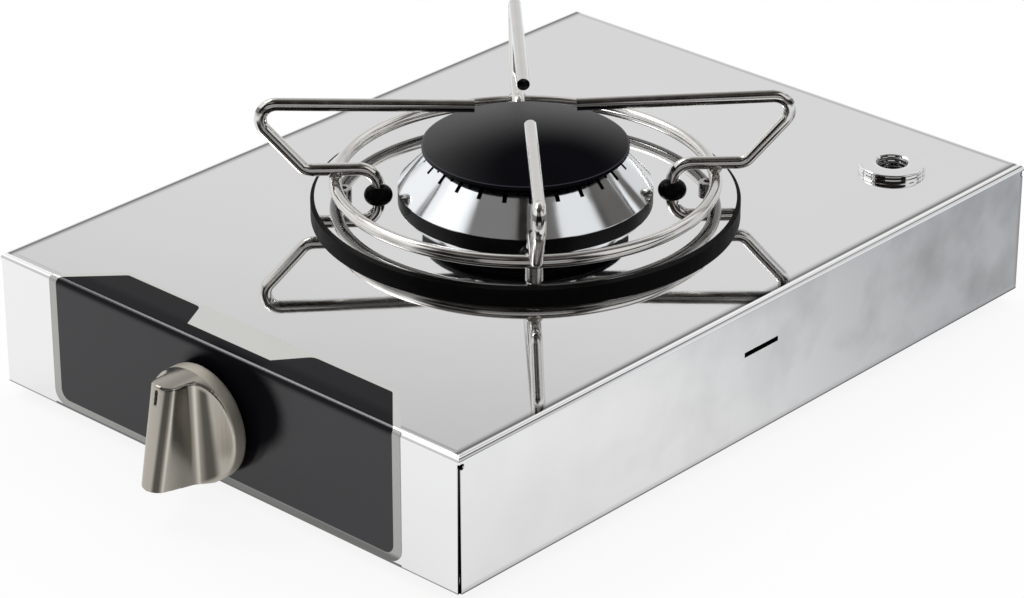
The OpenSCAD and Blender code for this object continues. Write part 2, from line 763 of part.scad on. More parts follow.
// Brass block under the burner, fed from the right, with the jet screwed into its top
module injector_holder() {
    stub = 7;
    color("goldenrod") difference() {
        union() {
            translate([0, 0, holder_low]) cylinder(r = holder_r, h = holder_h);
            translate([0, 0, holder_low - stub]) cylinder(r = 5, h = stub + fit, $fn = 48);
            translate([0, 0, holder_z]) rotate([0, 90, 0]) cylinder(r = port_r, h = port_reach, $fn = 48);
        }
        translate([0, 0, holder_z]) cylinder(r = 1.6, h = holder_h, $fn = 32);
        translate([0, 0, holder_z + 2]) cylinder(r = jet_r * 0.8 + fit, h = holder_h, $fn = 32);
        translate([0, 0, holder_z]) rotate([0, 90, 0]) cylinder(r = 1.6, h = port_reach + over, $fn = 32);
        translate([port_reach - socket_depth, 0, holder_z]) rotate([0, 90, 0])
            cylinder(r = pipe_r + fit, h = socket_depth + over, $fn = 32);
    }
}

module injector_nut() {
    color("goldenrod") translate([0, 0, holder_low - bracket_t - 4]) hex_nut(9, 5 + fit, 4);
}

module injector_jet() {
    color("gold") difference() {
        union() {
            translate([0, 0, holder_z + 2.2])
                cylinder(r = jet_r * 0.8, h = holder_top - holder_z - 2, $fn = 32);
            translate([0, 0, holder_top]) cylinder(r = jet_r + 0.4, h = 2.2, $fn = 6);
            translate([0, 0, holder_top + 2]) cylinder(r1 = jet_r * 0.7, r2 = 1.2, h = 1.2, $fn = 32);
        }
        translate([0, 0, holder_z]) cylinder(r = 0.5, h = holder_h, $fn = 16);
    }
}

// ---------------------------------------------------------------- gas tap

module tap_body() {
    color("goldenrod") difference() {
        union() {
            along_tap(-neck_out) cylinder(r = neck_r, h = neck_out + sheet_t + 1, $fn = 64);
            along_tap(sheet_t) cylinder(r = barrel_r + 2, h = tap_flange_t);
            along_tap(sheet_t) cylinder(r = barrel_r, h = barrel_len);
            along_tap(inlet_at) rotate([0, -90, 0]) cylinder(r = port_r, h = port_reach, $fn = 48);
            along_tap(outlet_at) rotate([0, 90, 0]) cylinder(r = port_r, h = port_reach, $fn = 48);
        }
        along_tap(-neck_out - over)
            cylinder(r = spindle_r + 0.06, h = chamber_at + neck_out + 2 * over, $fn = 48);
        along_tap(chamber_at) cylinder(r = chamber_r, h = barrel_len);
        along_tap(inlet_at) rotate([0, -90, 0]) cylinder(r = 1.6, h = port_reach + over, $fn = 32);
        along_tap(outlet_at) rotate([0, 90, 0]) cylinder(r = 1.6, h = port_reach + over, $fn = 32);
        translate([knob_x - port_reach, front_y + inlet_at, tap_z]) rotate([0, 90, 0])
            translate([0, 0, -over]) cylinder(r = pipe_r + fit, h = socket_depth + over, $fn = 32);
        translate([knob_x + port_reach - socket_depth, front_y + outlet_at, tap_z]) rotate([0, 90, 0])
            cylinder(r = pipe_r + fit, h = socket_depth + over, $fn = 32);
    }
}

module tap_plug() {
    color("goldenrod") along_tap(sheet_t + barrel_len - plug_t) union() {
        cylinder(r = chamber_r - fit, h = plug_t + fit);
        translate([0, 0, plug_t]) cylinder(r = barrel_r, h = 2, $fn = 6);
    }
}

module tap_nut() {
    color("silver") along_tap(-film_t - 3) hex_nut(9.8, neck_r + fit, 3);
}

module tap_spindle() {
    color("silver") difference() {
        union() {
            along_tap(-spindle_out)
                cylinder(r = spindle_r, h = spindle_out + spindle_flange_at + fit, $fn = 48);
            along_tap(spindle_flange_at) cylinder(r = chamber_r - loose, h = spindle_flange_t, $fn = 64);
        }
        translate([knob_x - spindle_r, front_y - spindle_out - over, tap_z + flat_from_axis])
            cube([2 * spindle_r, spindle_out - hub_from + over, spindle_r]);
    }
}

module valve_pin() {
    color("silver") {
        along_tap(pin_at) cylinder(r = spring_mean_r + spring_wire, h = pin_head_t, $fn = 48);
        along_tap(pin_at + pin_head_t - fit) cylinder(r = pin_rod_r, h = pin_rod_len, $fn = 32);
    }
}

// Coil spring between the pin's head and the plug, swept ring by ring along its helix
module return_spring() {
    sides = 6;
    steps = 12;
    count = spring_turns * steps;
    r = spring_wire / 2;
    rise = (spring_end - spring_at) / count;
    points = [
        for (i = [0:count], k = [0:sides - 1])
            let (a = 360 / steps * i, b = 360 / sides * k, m = spring_mean_r + r * cos(b))
                [m * cos(a), m * sin(a), rise * i + r * sin(b)]
    ];
    walls = [
        for (i = [0:count - 1], k = [0:sides - 1])
            let (n = (k + 1) % sides, p = i * sides, q = p + sides)
                [p + k, q + k, q + n, p + n]
    ];
    ends = [[for (k = [0:sides - 1]) k], [for (k = [sides - 1:-1:0]) count * sides + k]];
    color("silver") along_tap(spring_at) polyhedron(points, concat(walls, ends));
}

// ---------------------------------------------------------------- knob

// Half outlines of the knob's grip and of the flare at its root, as [half width, reach]
grip_root_half_w = grip_half_w + 0.7;
flare_reach = skirt_front + 6.8;
function bezier(a, b, c, t) = (1 - t) * (1 - t) * a + 2 * t * (1 - t) * b + t * t * c;
function flare_side() = [
    for (i = [0:12]) bezier(
        [grip_root_half_w, flare_reach],
        [grip_root_half_w + 1, skirt_front + 0.8],
        [knob_r, skirt_front],
        i / 12)
];
function grip_side(reach) = concat(
    [for (a = [90:-9:0]) [grip_half_w * cos(a), reach - 5 + 5 * sin(a)]],
    [[grip_root_half_w, flare_reach - 1], [grip_root_half_w, skirt_front - 1]]
);
function both_sides(side) = concat(side, [for (i = [len(side) - 1:-1:0]) [-side[i][0], side[i][1]]]);

module knob_form() {
    bottom_draft = 9.8;
    second_r = knob_r + 6;
    intersection() {
        translate([0, 0, knob_gap]) cylinder(r = knob_r, h = 2 * grip_reach, $fn = 120);
        translate([0, second_r - knob_r, knob_gap]) rotate([-bottom_draft, 0, 0])
            cylinder(r = second_r, h = 4 * grip_reach, center = true, $fn = 120);
        union() {
            rotate([90, 0, 0]) linear_extrude(height = 4 * knob_r, center = true)
                polygon(concat([[-knob_r, knob_gap - over], [knob_r, knob_gap - over]], knob_section()));
            rotate([-grip_tilt, 0, 0]) rotate([90, 0, 0]) linear_extrude(height = 4 * knob_r, center = true)
                polygon(both_sides(grip_side(grip_reach * cos(grip_tilt))));
        }
    }
}
function knob_section() = let (side = flare_side()) concat(
    [for (i = [len(side) - 1:-1:0]) side[i]],
    [for (p = side) [-p[0], p[1]]]
);

// Places a child on the sloping front of the grip: x across, y up, z outwards
module on_grip() {
    out_of_front() rotate([-grip_tilt, 0, 0]) translate([0, 0, grip_reach * cos(grip_tilt)]) children();
}
pointer_top = (knob_r - 1.2) * cos(grip_tilt) - grip_reach * sin(grip_tilt) * cos(grip_tilt);

module knob() {
    color([0.6, 0.58, 0.54]) difference() {
        out_of_front() difference() {
            knob_form();
            cylinder(r = cavity_r, h = cavity_to);
            cylinder(r = hub_r + fit, h = hub_to + fit, $fn = 48);
        }
        on_grip() translate([-pointer_w / 2, pointer_top - pointer_len, -pointer_depth])
            cube([pointer_w, pointer_len, pointer_depth + over]);
    }
}

module knob_insert() {
    color("dimgray") out_of_front() difference() {
        translate([0, 0, hub_from]) cylinder(r = hub_r, h = hub_to - hub_from, $fn = 48);
        difference() {
            translate([0, 0, hub_from - over])
                cylinder(r = spindle_r + fit, h = spindle_out - hub_from + over + fit, $fn = 48);
            translate([-hub_r, flat_from_axis + fit, hub_from - 2 * over])
                cube([2 * hub_r, hub_r, spindle_out]);
        }
    }
}

module knob_pointer() {
    color("black") on_grip()
        translate([-pointer_w / 2 + fit, pointer_top - pointer_len + fit, -pointer_depth + fit])
        cube([pointer_w - 2 * fit, pointer_len - 2 * fit, pointer_depth - fit]);
}

// ---------------------------------------------------------------- pipes and fittings

feed_corner_x = 30;
feed_lane_x = 42;
feed_lane_y = -60;
feed_bend = 8;
inlet_bend = 14;
inlet_body_in = 15;
bush_neck_r = 9;
bush_under = 12;
bush_nut_r = 14;
bush_edge_r = 0.8;
bush_hole_edge = 0.5;

module feed_pipe() {
    start = knob_x + port_reach - socket_depth + fit;
    color("peru") translate([0, 0, tap_z]) bent_rod([
        [start, front_y + outlet_at],
        [feed_corner_x, front_y + outlet_at],
        [feed_lane_x, feed_lane_y],
        [feed_lane_x, burner_y],
        [burner_x + port_reach - socket_depth + fit, burner_y]
    ], [feed_bend, inlet_bend, feed_bend], pipe_r);
}

module inlet_pipe() {
    color("peru") translate([0, 0, tap_z]) bent_rod([
        [knob_x - port_reach + socket_depth - fit, front_y + inlet_at],
        [inlet_x, front_y + inlet_at],
        [inlet_x, body_d / 2 - inlet_body_in + socket_depth - fit]
    ], [inlet_bend], pipe_r);
}

// Union nut around a pipe, its seat at the origin and its body along +x
module pipe_nut() {
    rotate([0, 90, 0]) hex_nut(pipe_nut_r, pipe_r + fit, pipe_nut_len);
}

module pipe_nuts() {
    color("goldenrod") {
        translate([knob_x + port_reach, front_y + outlet_at, tap_z]) pipe_nut();
        translate([knob_x - port_reach, front_y + inlet_at, tap_z]) rotate([0, 0, 180]) pipe_nut();
        translate([burner_x + port_reach, burner_y, holder_z]) pipe_nut();
        translate([inlet_x, body_d / 2 - inlet_body_in, tap_z]) rotate([0, 0, -90]) pipe_nut();
    }
}

// Bulkhead fitting through the back, with an outer thread for the gas supply
module inlet_fitting() {
    collar = 3;
    bore_r = 1.9;
    translate([inlet_x, body_d / 2, tap_z]) rotate([-90, 0, 0]) color("goldenrod") difference() {
        union() {
            cylinder(r = inlet_r + 3.2, h = collar, $fn = 6);
            cylinder(r = inlet_r, h = collar + inlet_len, $fn = 64);
            translate([0, 0, -inlet_body_in]) cylinder(r = inlet_r, h = inlet_body_in + fit, $fn = 64);
        }
        translate([0, 0, -inlet_body_in - over])
            cylinder(r = bore_r, h = inlet_body_in + collar + inlet_len + 2 * over, $fn = 32);
        translate([0, 0, -inlet_body_in - over])
            cylinder(r = pipe_r + fit, h = socket_depth + over, $fn = 32);
    }
}

module inlet_nut() {
    nut_h = 5;
    color("goldenrod") translate([inlet_x, body_d / 2 - sheet_t - nut_h, tap_z]) rotate([-90, 0, 0])
        hex_nut(inlet_r + 3.2, inlet_r + fit, nut_h);
}

// Threaded bush standing on the top, its upper edge rounded
module threaded_bush() {
    color("whitesmoke") translate([bush_x, bush_y, top_z]) difference() {
        union() {
            translate([0, 0, -bush_under]) cylinder(r = bush_neck_r, h = bush_under + bush_rise / 2);
            rotate_extrude() {
                square([bush_r, bush_rise - bush_edge_r]);
                square([bush_r - bush_edge_r, bush_rise]);
                translate([bush_r - bush_edge_r, bush_rise - bush_edge_r]) circle(r = bush_edge_r, $fn = 48);
            }
        }
        translate([0, 0, -bush_under - over])
            cylinder(r = bush_hole_r, h = bush_under + bush_rise + 2 * over);
        translate([0, 0, bush_rise - bush_hole_edge])
            cylinder(r1 = bush_hole_r, r2 = bush_hole_r + 1.5 * bush_hole_edge, h = 1.5 * bush_hole_edge);
    }
}

module bush_nut() {
    nut_h = 5;
    color("silver") translate([bush_x, bush_y, top_z - sheet_t - nut_h])
        hex_nut(bush_nut_r, bush_neck_r + fit, nut_h);
}

casing();
base_plate();
base_screws();
rubber_feet();
foot_screws();
foot_nuts();
panel_film();
at_burner() riser_ring();
at_burner() burner_plate();
at_burner() plate_spacers();
at_burner() plate_screws();
at_burner() plate_nuts();
at_burner() grommets();
at_burner() support_ring();
at_burner() support_arm(3, front_arm_lean, front_arm_turn);  // support_arm_front
at_burner() support_arm(0);  // support_arm_right
at_burner() support_arm(1);  // support_arm_back
at_burner() support_arm(2);  // support_arm_left
at_burner() burner_cup();
at_burner() burner_screws();
at_burner() burner_nuts();
at_burner() flame_spreader();
at_burner() burner_cap();
at_burner() injector_bracket();
at_burner() bracket_screws();
at_burner() injector_holder();
at_burner() injector_nut();
at_burner() injector_jet();
tap_body();
tap_plug();
tap_nut();
tap_spindle();
valve_pin();
return_spring();
knob();
knob_insert();
knob_pointer();
feed_pipe();
inlet_pipe();
pipe_nuts();
inlet_fitting();
inlet_nut();
threaded_bush();
bush_nut();
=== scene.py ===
"""Finishes and fine shapes of a single-burner tabletop gas stove, laid over its solid model."""

import math

import bpy
from mathutils import Matrix, Vector


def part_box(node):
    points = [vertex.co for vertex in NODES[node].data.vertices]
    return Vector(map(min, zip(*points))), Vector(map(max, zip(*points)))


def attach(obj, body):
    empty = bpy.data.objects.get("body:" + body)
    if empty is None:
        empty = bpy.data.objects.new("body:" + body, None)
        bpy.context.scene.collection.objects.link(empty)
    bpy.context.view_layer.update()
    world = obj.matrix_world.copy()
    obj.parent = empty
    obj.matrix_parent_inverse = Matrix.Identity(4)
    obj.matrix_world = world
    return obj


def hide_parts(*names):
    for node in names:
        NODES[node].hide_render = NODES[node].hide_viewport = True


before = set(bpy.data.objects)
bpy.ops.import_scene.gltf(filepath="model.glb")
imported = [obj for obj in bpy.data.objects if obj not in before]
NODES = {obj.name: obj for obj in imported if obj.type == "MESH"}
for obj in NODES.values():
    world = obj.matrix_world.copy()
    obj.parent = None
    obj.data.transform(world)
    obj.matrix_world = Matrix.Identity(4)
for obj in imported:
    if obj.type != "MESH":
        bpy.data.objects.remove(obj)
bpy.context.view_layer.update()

bl_info = {
    "name": "Tabletop gas stove finishes",
    "version": (1, 1, 0),
    "blender": (4, 5, 0),
    "location": "View3D > Sidebar > Stove",
    "description": "Dresses the solid model of a gas stove in its metals, rubber, enamel and printed panel",
    "category": "Object",
}

MM = 0.001


def low(node):
    """Lowest corner of a CAD node."""
    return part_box(node)[0]


def high(node):
    """Highest corner of a CAD node."""
    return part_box(node)[1]


def middle(node):
    """Centre of a CAD node's box."""
    return (low(node) + high(node)) / 2


FRONT_Y = low("casing").y
SIDE_X = high("casing").x
BURNER = middle("burner_cap")
RING_WIRE = (high("support_ring").z - low("support_ring").z) / 2
RING_RADIUS = (high("support_ring").x - low("support_ring").x) / 2 - RING_WIRE
# Thickness of the casing's sheet, and outer radius of its bends
SHEET = 0.001
BEND = 0.0026
# Radius of the hole in the threaded bush
BUSH_HOLE = 0.0063


# ---------------------------------------------------------------- settings

def length(name, description, default):
    """A size in metres."""
    return bpy.props.FloatProperty(
        name=name, description=description, default=default, min=0.0, precision=5,
        subtype="DISTANCE", unit="LENGTH",
    )


def offset(name, description, default):
    """A place in metres, to either side."""
    return bpy.props.FloatProperty(
        name=name, description=description, default=default, precision=5, subtype="DISTANCE", unit="LENGTH",
    )


def share(name, description, default):
    """A number from 0 to 1."""
    return bpy.props.FloatProperty(
        name=name, description=description, default=default, min=0.0, max=1.0, subtype="FACTOR",
    )


def colour(name, description, default):
    """A linear colour."""
    return bpy.props.FloatVectorProperty(
        name=name, description=description, default=default, size=3, min=0.0, max=1.0, subtype="COLOR",
    )


def turn(name, description, degrees):
    """An angle."""
    return bpy.props.FloatProperty(
        name=name, description=description, default=math.radians(degrees), subtype="ANGLE", unit="ROTATION",
    )


class StoveMetalSettings(bpy.types.PropertyGroup):
    """Colours and polish of the bare metals."""

    sheet_colour: colour("Sheet colour", "Colour of the polished sheet", (0.87, 0.87, 0.872))
    sheet_roughness: share("Sheet roughness", "Blur of the polished sheet", 0.03)
    wire_colour: colour("Wire colour", "Colour of the pot support's wire", (0.76, 0.74, 0.71))
    wire_roughness: share("Wire roughness", "Blur of the wire", 0.15)
    cone_colour: colour("Spreader colour", "Colour of the turned flame spreader", (0.87, 0.895, 0.92))
    knob_colour: colour("Knob colour", "Colour of the satin nickel knob", (0.44, 0.41, 0.36))
    knob_roughness: share("Knob roughness", "Blur of the satin nickel", 0.22)
    knob_grain: length("Knob grain", "Cell size of the knob's worn skin", 0.0004)
    knob_rounds: bpy.props.IntProperty(
        name="Knob wear", description="Rounds of smoothing on the knob's worn skin", default=16, min=0,
    )


class StovePanelSettings(bpy.types.PropertyGroup):
    """The printed field on the front panel."""

    ink_colour: colour("Field colour", "Colour of the printed dark field", (0.004, 0.004, 0.0055))
    border_colour: colour("Border colour", "Colour of the bare border", (0.42, 0.42, 0.40))
    half_width: length("Field half width", "From the middle to the field's side edge", 0.0935)
    low_edge: length("Field low edge", "Height of the field's lower edge above the table", 0.0100)
    corner: length("Field corner", "Radius of the field's lower corners", 0.0045)
    back_edge: length("Field back edge", "How far the field reaches back from the front", 0.0210)
    cut_at: length("Back corner cut", "From the middle to the cut of the field's back corners", 0.0920)
    cut_depth: length("Cut depth", "How far back from the front that place of the cut lies", 0.0020)
    cut_turn: turn("Cut turn", "The cut's outward direction, turned from sideways to the back", 44.3)
    notch_front: length("Notch front", "How far the bare notch stays back from the front", 0.0078)
    notch_left: offset("Notch left", "Left end of the notch's front edge", -0.0252)
    notch_right: offset("Notch right", "Right end of the notch's front edge", 0.0210)
    notch_left_turn: turn("Notch left turn", "The left edge's direction out of the notch", 207.1)
    notch_right_turn: turn("Notch right turn", "The right edge's direction out of the notch", -37.8)


class StoveDetailSettings(bpy.types.PropertyGroup):
    """Weld beads and thread turns."""

    weld_long: length("Weld length", "Half length of a weld bead along the ring", 0.0036)
    weld_wide: length("Weld width", "Half width of a weld bead across the ring", 0.0029)
    weld_high: length("Weld height", "Half height of a weld bead", 0.0013)
    weld_uneven: length("Weld unevenness", "How far the skin of a weld bead wanders", 0.0007)
    weld_lumps: bpy.props.FloatProperty(
        name="Weld lumps", description="Lumps to the metre on a weld bead's skin", default=420.0, min=0.0,
    )
    thread_pitch: length("Thread pitch", "Distance between the turns in the bush", 0.0018)
    thread_wire: length("Thread ridge", "Radius of a thread ridge", 0.0006)
    thread_sunk: share("Thread sunk", "Share of a ridge's radius that its centre lies in the wall", 0.35)
    thread_start: length("Thread start", "From the bush's top down to the thread", 0.0009)
    thread_share: share("Threaded share", "Share of the bush's height that is threaded", 0.82)


class StoveStageSettings(bpy.types.PropertyGroup):
    """Floor, light and camera."""

    floor_size: length("Floor size", "Side of the square floor", 14.0)
    camera_azimuth: turn("Camera azimuth", "Turn of the camera to the right of the front", 42.57)
    camera_elevation: turn("Camera elevation", "Height of the camera above the horizon", 26.63)
    camera_distance: length("Camera distance", "From the aimed point to the camera", 1.65834)
    aim_right: offset("Aim right", "Sideways place of the aimed point, across the view", -0.00509)
    aim_up: offset("Aim up", "Place of the aimed point, up the view", 0.01399)
    lens: bpy.props.FloatProperty(
        name="Lens", description="Focal length on a 36 mm sensor, in millimetres", default=138.57, min=20,
    )

    def axes(self):
        """Level directions to the right of the view and toward the camera."""
        a = self.camera_azimuth
        return Vector((math.cos(a), math.sin(a), 0)), Vector((math.sin(a), -math.cos(a), 0))


# ---------------------------------------------------------------- node trees

class Nodes:
    """A node tree under construction."""

    def __init__(self, tree):
        self.tree = tree

    def add(self, kind, *values, **settings):
        """A node whose inputs, in order, are linked to sockets or set to values."""
        node = self.tree.nodes.new(kind)
        for name, value in settings.items():
            setattr(node, name, value)
        for socket, value in zip(node.inputs, values):
            self.feed(socket, value)
        return node

    def feed(self, socket, value):
        """Links or sets one socket."""
        if isinstance(value, bpy.types.NodeSocket):
            self.tree.links.new(value, socket)
        elif value is not None:
            socket.default_value = value

    def math(self, operation, *values):
        """One arithmetic step."""
        return self.add("ShaderNodeMath", *values, operation=operation).outputs[0]

    def minus(self, value, other):
        """The difference of two values."""
        return self.math("SUBTRACT", value, other)

    def fold(self, operation, values):
        """One arithmetic step carried through a row of values."""
        result = values[0]
        for value in values[1:]:
            result = self.math(operation, result, value)
        return result

    def total(self, *values):
        """The sum of the values."""
        return self.fold("ADD", values)

    def product(self, *values):
        """The values multiplied, or where all of some masks meet."""
        return self.fold("MULTIPLY", values)

    def most(self, *values):
        """The largest value, or where any of some masks is."""
        return self.fold("MAXIMUM", values)

    def squares(self, *values):
        """The sum of the values' squares."""
        return self.total(*(self.product(value, value) for value in values))

    def distance(self, *values):
        """The length of a line from its reach along each axis."""
        return self.math("SQRT", self.squares(*values))

    def dot(self, vector, way):
        """A vector's reach along a fixed direction."""
        return self.add("ShaderNodeVectorMath", vector, tuple(way), operation="DOT_PRODUCT").outputs["Value"]

    def split(self, vector):
        """A vector's three numbers."""
        return tuple(self.add("ShaderNodeSeparateXYZ", vector).outputs)

    def span(self, value, a, b, to_a=0.0, to_b=1.0, smooth=False):
        """Maps a..b to to_a..to_b, clamped."""
        made = self.add("ShaderNodeMapRange", value, a, b, to_a, to_b,
                        interpolation_type="SMOOTHSTEP" if smooth else "LINEAR")
        made.clamp = True
        return made.outputs[0]

    def window(self, value, a, b, soft):
        """1 between a and b, falling to 0 over a soft edge."""
        rise = self.span(value, a - soft / 2, a + soft / 2, smooth=True)
        return self.product(rise, self.span(value, b - soft / 2, b + soft / 2, 1.0, 0.0, smooth=True))

    def toward(self, factor, start, end):
        """A number that goes from start to end as the factor goes from 0 to 1."""
        return self.math("MULTIPLY_ADD", self.minus(end, start), factor, start)

    def mix(self, factor, dark, light):
        """Blends two colours, each a value or a socket."""
        made = self.add("ShaderNodeMix", data_type="RGBA")
        self.feed(made.inputs["Factor"], factor)
        for socket, value in ((made.inputs[6], dark), (made.inputs[7], light)):
            self.feed(socket, value if isinstance(value, bpy.types.NodeSocket) else (*value, 1))
        return made.outputs[2]


class Finish(Nodes):
    """A procedural material under construction, patterned by object coordinates."""

    def __init__(self, name, base, metallic, roughness, **sockets):
        self.material = bpy.data.materials.new(name)
        self.material.use_nodes = True
        super().__init__(self.material.node_tree)
        self.shader = self.tree.nodes["Principled BSDF"]
        self.set(**{"Base Color": (*base, 1), "Metallic": metallic, "Roughness": roughness})
        self.set(**sockets)
        self.place = self.add("ShaderNodeTexCoord").outputs["Object"]

    def set(self, **sockets):
        """Constant values straight on the shader's sockets."""
        for name, value in sockets.items():
            self.shader.inputs[name.replace("_", " ")].default_value = value

    def axes(self):
        """Object coordinates in millimetres, as three sockets."""
        scaled = self.add("ShaderNodeVectorMath", self.place, operation="SCALE")
        scaled.inputs["Scale"].default_value = 1 / MM
        return self.split(scaled.outputs[0])

    def radius(self, centre):
        """Distance in millimetres from an upright axis through a point."""
        x, y, _ = self.axes()
        return self.distance(self.minus(x, centre.x / MM), self.minus(y, centre.y / MM))

    def noise(self, scale, stretch=(1, 1, 1), detail=3.0):
        """Noise with that many waves to the metre, stretched along the axes."""
        mapped = self.add("ShaderNodeMapping", self.place)
        mapped.inputs["Scale"].default_value = stretch
        made = self.add("ShaderNodeTexNoise", mapped.outputs[0])
        made.inputs["Scale"].default_value = scale
        made.inputs["Detail"].default_value = detail
        return made.outputs[0]

    def tint(self, pattern, dark, light):
        """Base colour that wanders between two shades."""
        self.feed(self.shader.inputs["Base Color"], self.mix(pattern, dark, light))

    def polish(self, pattern, smooth, rough):
        """Roughness that wanders between two values."""
        self.feed(self.shader.inputs["Roughness"], self.span(pattern, 0.3, 0.7, smooth, rough))

    def bump(self, *layers):
        """Relief from (height socket, depth in metres) pairs, one on top of the other."""
        normal = None
        for height, depth in layers:
            made = self.add("ShaderNodeBump")
            made.inputs["Strength"].default_value = 1.0
            made.inputs["Distance"].default_value = depth
            self.feed(made.inputs["Height"], height)
            self.feed(made.inputs["Normal"], normal)
            normal = made.outputs[0]
        self.feed(self.shader.inputs["Normal"], normal)


class Growth(Nodes):
    """A geometry node tree with named inputs, run once to give a plain mesh."""

    def __init__(self, name, **sizes):
        super().__init__(bpy.data.node_groups.new(name, "GeometryNodeTree"))
        face = self.tree.interface
        face.new_socket("Geometry", in_out="OUTPUT", socket_type="NodeSocketGeometry")
        self.sizes = {}
        for label, value in sizes.items():
            kind = "NodeSocketInt" if isinstance(value, int) else "NodeSocketFloat"
            self.sizes[face.new_socket(label, in_out="INPUT", socket_type=kind).identifier] = value
        self.inputs = list(self.add("NodeGroupInput").outputs)[:len(sizes)]

    def named(self, kind, settings=None, **inputs):
        """A node with its inputs given by name."""
        node = self.add(kind, **(settings or {}))
        for name, value in inputs.items():
            self.feed(node.inputs[name.replace("_", " ")], value)
        return node

    def triple(self, x, y, z):
        """A vector from three numbers."""
        return self.add("ShaderNodeCombineXYZ", x, y, z).outputs[0]

    def grown(self, geometry, material):
        """The plain mesh."""
        real = self.add("GeometryNodeRealizeInstances", geometry)
        done = self.named("GeometryNodeSetMaterial", Geometry=real.outputs[0], Material=material)
        self.add("NodeGroupOutput", done.outputs[0])
        holder = bpy.data.objects.new(self.tree.name, bpy.data.meshes.new(self.tree.name))
        modifier = holder.modifiers.new("growth", "NODES")
        modifier.node_group = self.tree
        for identifier, value in self.sizes.items():
            modifier[identifier] = value
        return baked(holder)


def shade(colour_value, factor):
    """A colour made darker or lighter."""
    return tuple(min(1.0, c * factor) for c in colour_value)


# ---------------------------------------------------------------- finishes

# Places and widths in the patterns are in millimetres.

def polished_sheet(name, settings, wave=1.0, marks=None, relief=()):
    """Mirror-finished sheet with slight waves, hair lines and, if given, relief and dark marks, painted shade
    among them.
    """
    base = tuple(settings.sheet_colour)
    f = Finish(name, base, 1.0, settings.sheet_roughness)
    cloud = f.noise(14, detail=4)
    hair = f.noise(900, stretch=(0.04, 1, 0.04), detail=2)
    clean = f.mix(cloud, shade(base, 0.975), shade(base, 1.02))
    # Dark marks, painted shade among them, turn the sheet toward this brown black.
    f.tint(marks(f) if marks else 0.0, clean, (0.014, 0.012, 0.011))
    f.polish(f.math("MULTIPLY_ADD", hair, 0.4, f.product(cloud, 0.6)),
             settings.sheet_roughness * 0.7, settings.sheet_roughness * 1.6)
    f.bump((f.noise(22, detail=1), 0.00005 * wave), (hair, 0.0000006), *(make(f) for make in relief))
    return f.material


class CasingPlaces:
    """Where a point lies on the casing, in millimetres."""

    def __init__(self, f):
        self.x, self.y, self.z = f.axes()
        self.across, self.along = f.math("ABSOLUTE", self.x), f.math("ABSOLUTE", self.y)
        self.side, self.front, self.bend = SIDE_X / MM, -FRONT_Y / MM, BEND / MM
        self.floor, self.top = low("casing").z / MM, high("casing").z / MM


def bend_shading(f, at):
    """Shading on the casing's top: a line along each side bend and the front bend, darker to the front."""
    side, front = at.side - at.bend, at.front - at.bend
    rise = f.math("POWER", f.span(at.across, side - 4.5, side - 0.9), 2.0)
    beside = f.product(rise, f.span(at.across, side - 0.4, side + 0.2, 0.8, 0.0))
    before = f.product(f.window(at.along, front - 1.9, front - 0.4, 1.6), f.span(at.x, -110, 127, 0.22, 0.4))
    toward_front = f.span(at.y, -at.front, -60, 0.075, 0.0)
    return f.product(f.most(beside, before, toward_front), f.span(at.z, at.top - 0.1, at.top - 0.05))


def side_smudges_and_shade(f, at):
    """Smudges on the casing's sides, a back corner that grows darker toward the back, and painted shade along
    the lower edge.
    """
    patches = f.span(f.noise(34, detail=3), 0.42, 0.75, 0.0, 0.3)
    smudge = f.product(patches, f.span(at.y, -120, 120, 0.15, 1.0))
    back_corner = f.span(at.y, 170.5, 174.6, 0.0, 0.5)
    # Painted shade along the lower edge: dark at the very bottom, fading over the next few millimetres.
    up = f.minus(at.z, at.floor)
    edge = f.most(f.span(up, 0.5, 0.9, 0.8, 0.0), f.span(up, 0.4, 3.0, 0.35, 0.0))
    return f.product(f.most(smudge, back_corner, edge), f.span(at.across, at.side - 0.1, at.side - 0.05))


def front_painted_shade(f, at):
    """Painted shade on the casing's front: a dark lower edge and a shaded strip under the panel film."""
    up = f.minus(at.z, at.floor)
    film_half, film_foot = high("panel_film").x / MM, low("panel_film").z / MM - at.floor
    under_film = f.product(f.span(at.across, film_half - 0.1, film_half, 0.8, 0.0),
                           f.span(up, film_foot - 0.1, film_foot, 1.0, 0.0))
    edge = f.span(up, 0.4, 0.7, 0.65, 0.0)
    return f.product(f.most(edge, under_film), f.span(at.along, at.front - 0.1, at.front - 0.05))


def corner_edges(f, at):
    """Dark cut edges in the casing's open corners, narrowing toward the top."""
    crown = at.top - at.bend

    def in_sheet(value, face):
        """Within the sheet's thickness, under its outer face."""
        inner, outer = face - SHEET / MM - 0.11, face - 0.03
        return f.product(f.span(value, inner - 0.01, inner), f.span(value, outer - 0.01, outer, 1.0, 0.0))

    def narrowed(value, face_low, face_high):
        """Held back from the outer face, more so higher up."""
        face = f.span(at.z, at.floor, crown, face_low, face_high)
        return f.span(f.minus(face, value), 0.0, 0.1, 0.12, 1.0)

    return f.product(in_sheet(at.across, at.side), in_sheet(at.along, at.front),
                     f.span(at.z, crown, crown + 0.1, 1.0, 0.0),
                     narrowed(at.across, at.side - 0.15, at.side - 0.55),
                     narrowed(at.along, at.front, at.front - 0.5))


def casing_shade_and_marks(f):
    """All the dark marks of the casing: painted shading beside its bends and along its lower edges, smudges,
    a darker back corner and dark cut edges.
    """
    at = CasingPlaces(f)
    return f.most(bend_shading(f, at), side_smudges_and_shade(f, at), front_painted_shade(f, at), corner_edges(f, at))


def bush_groove(f):
    """A turned groove round the bush's rim, as a height and its depth."""
    groove, half_width = high("threaded_bush").z / MM - 2.1, 0.25
    return f.span(f.axes()[2], groove - half_width, groove + half_width), -0.0002


def bush_countersink(f):
    """A countersink round the bush's hole, as a height and its depth."""
    hole = BUSH_HOLE / MM
    return f.span(f.radius(middle("threaded_bush")), hole + 0.1, hole + 1.8), 0.0011


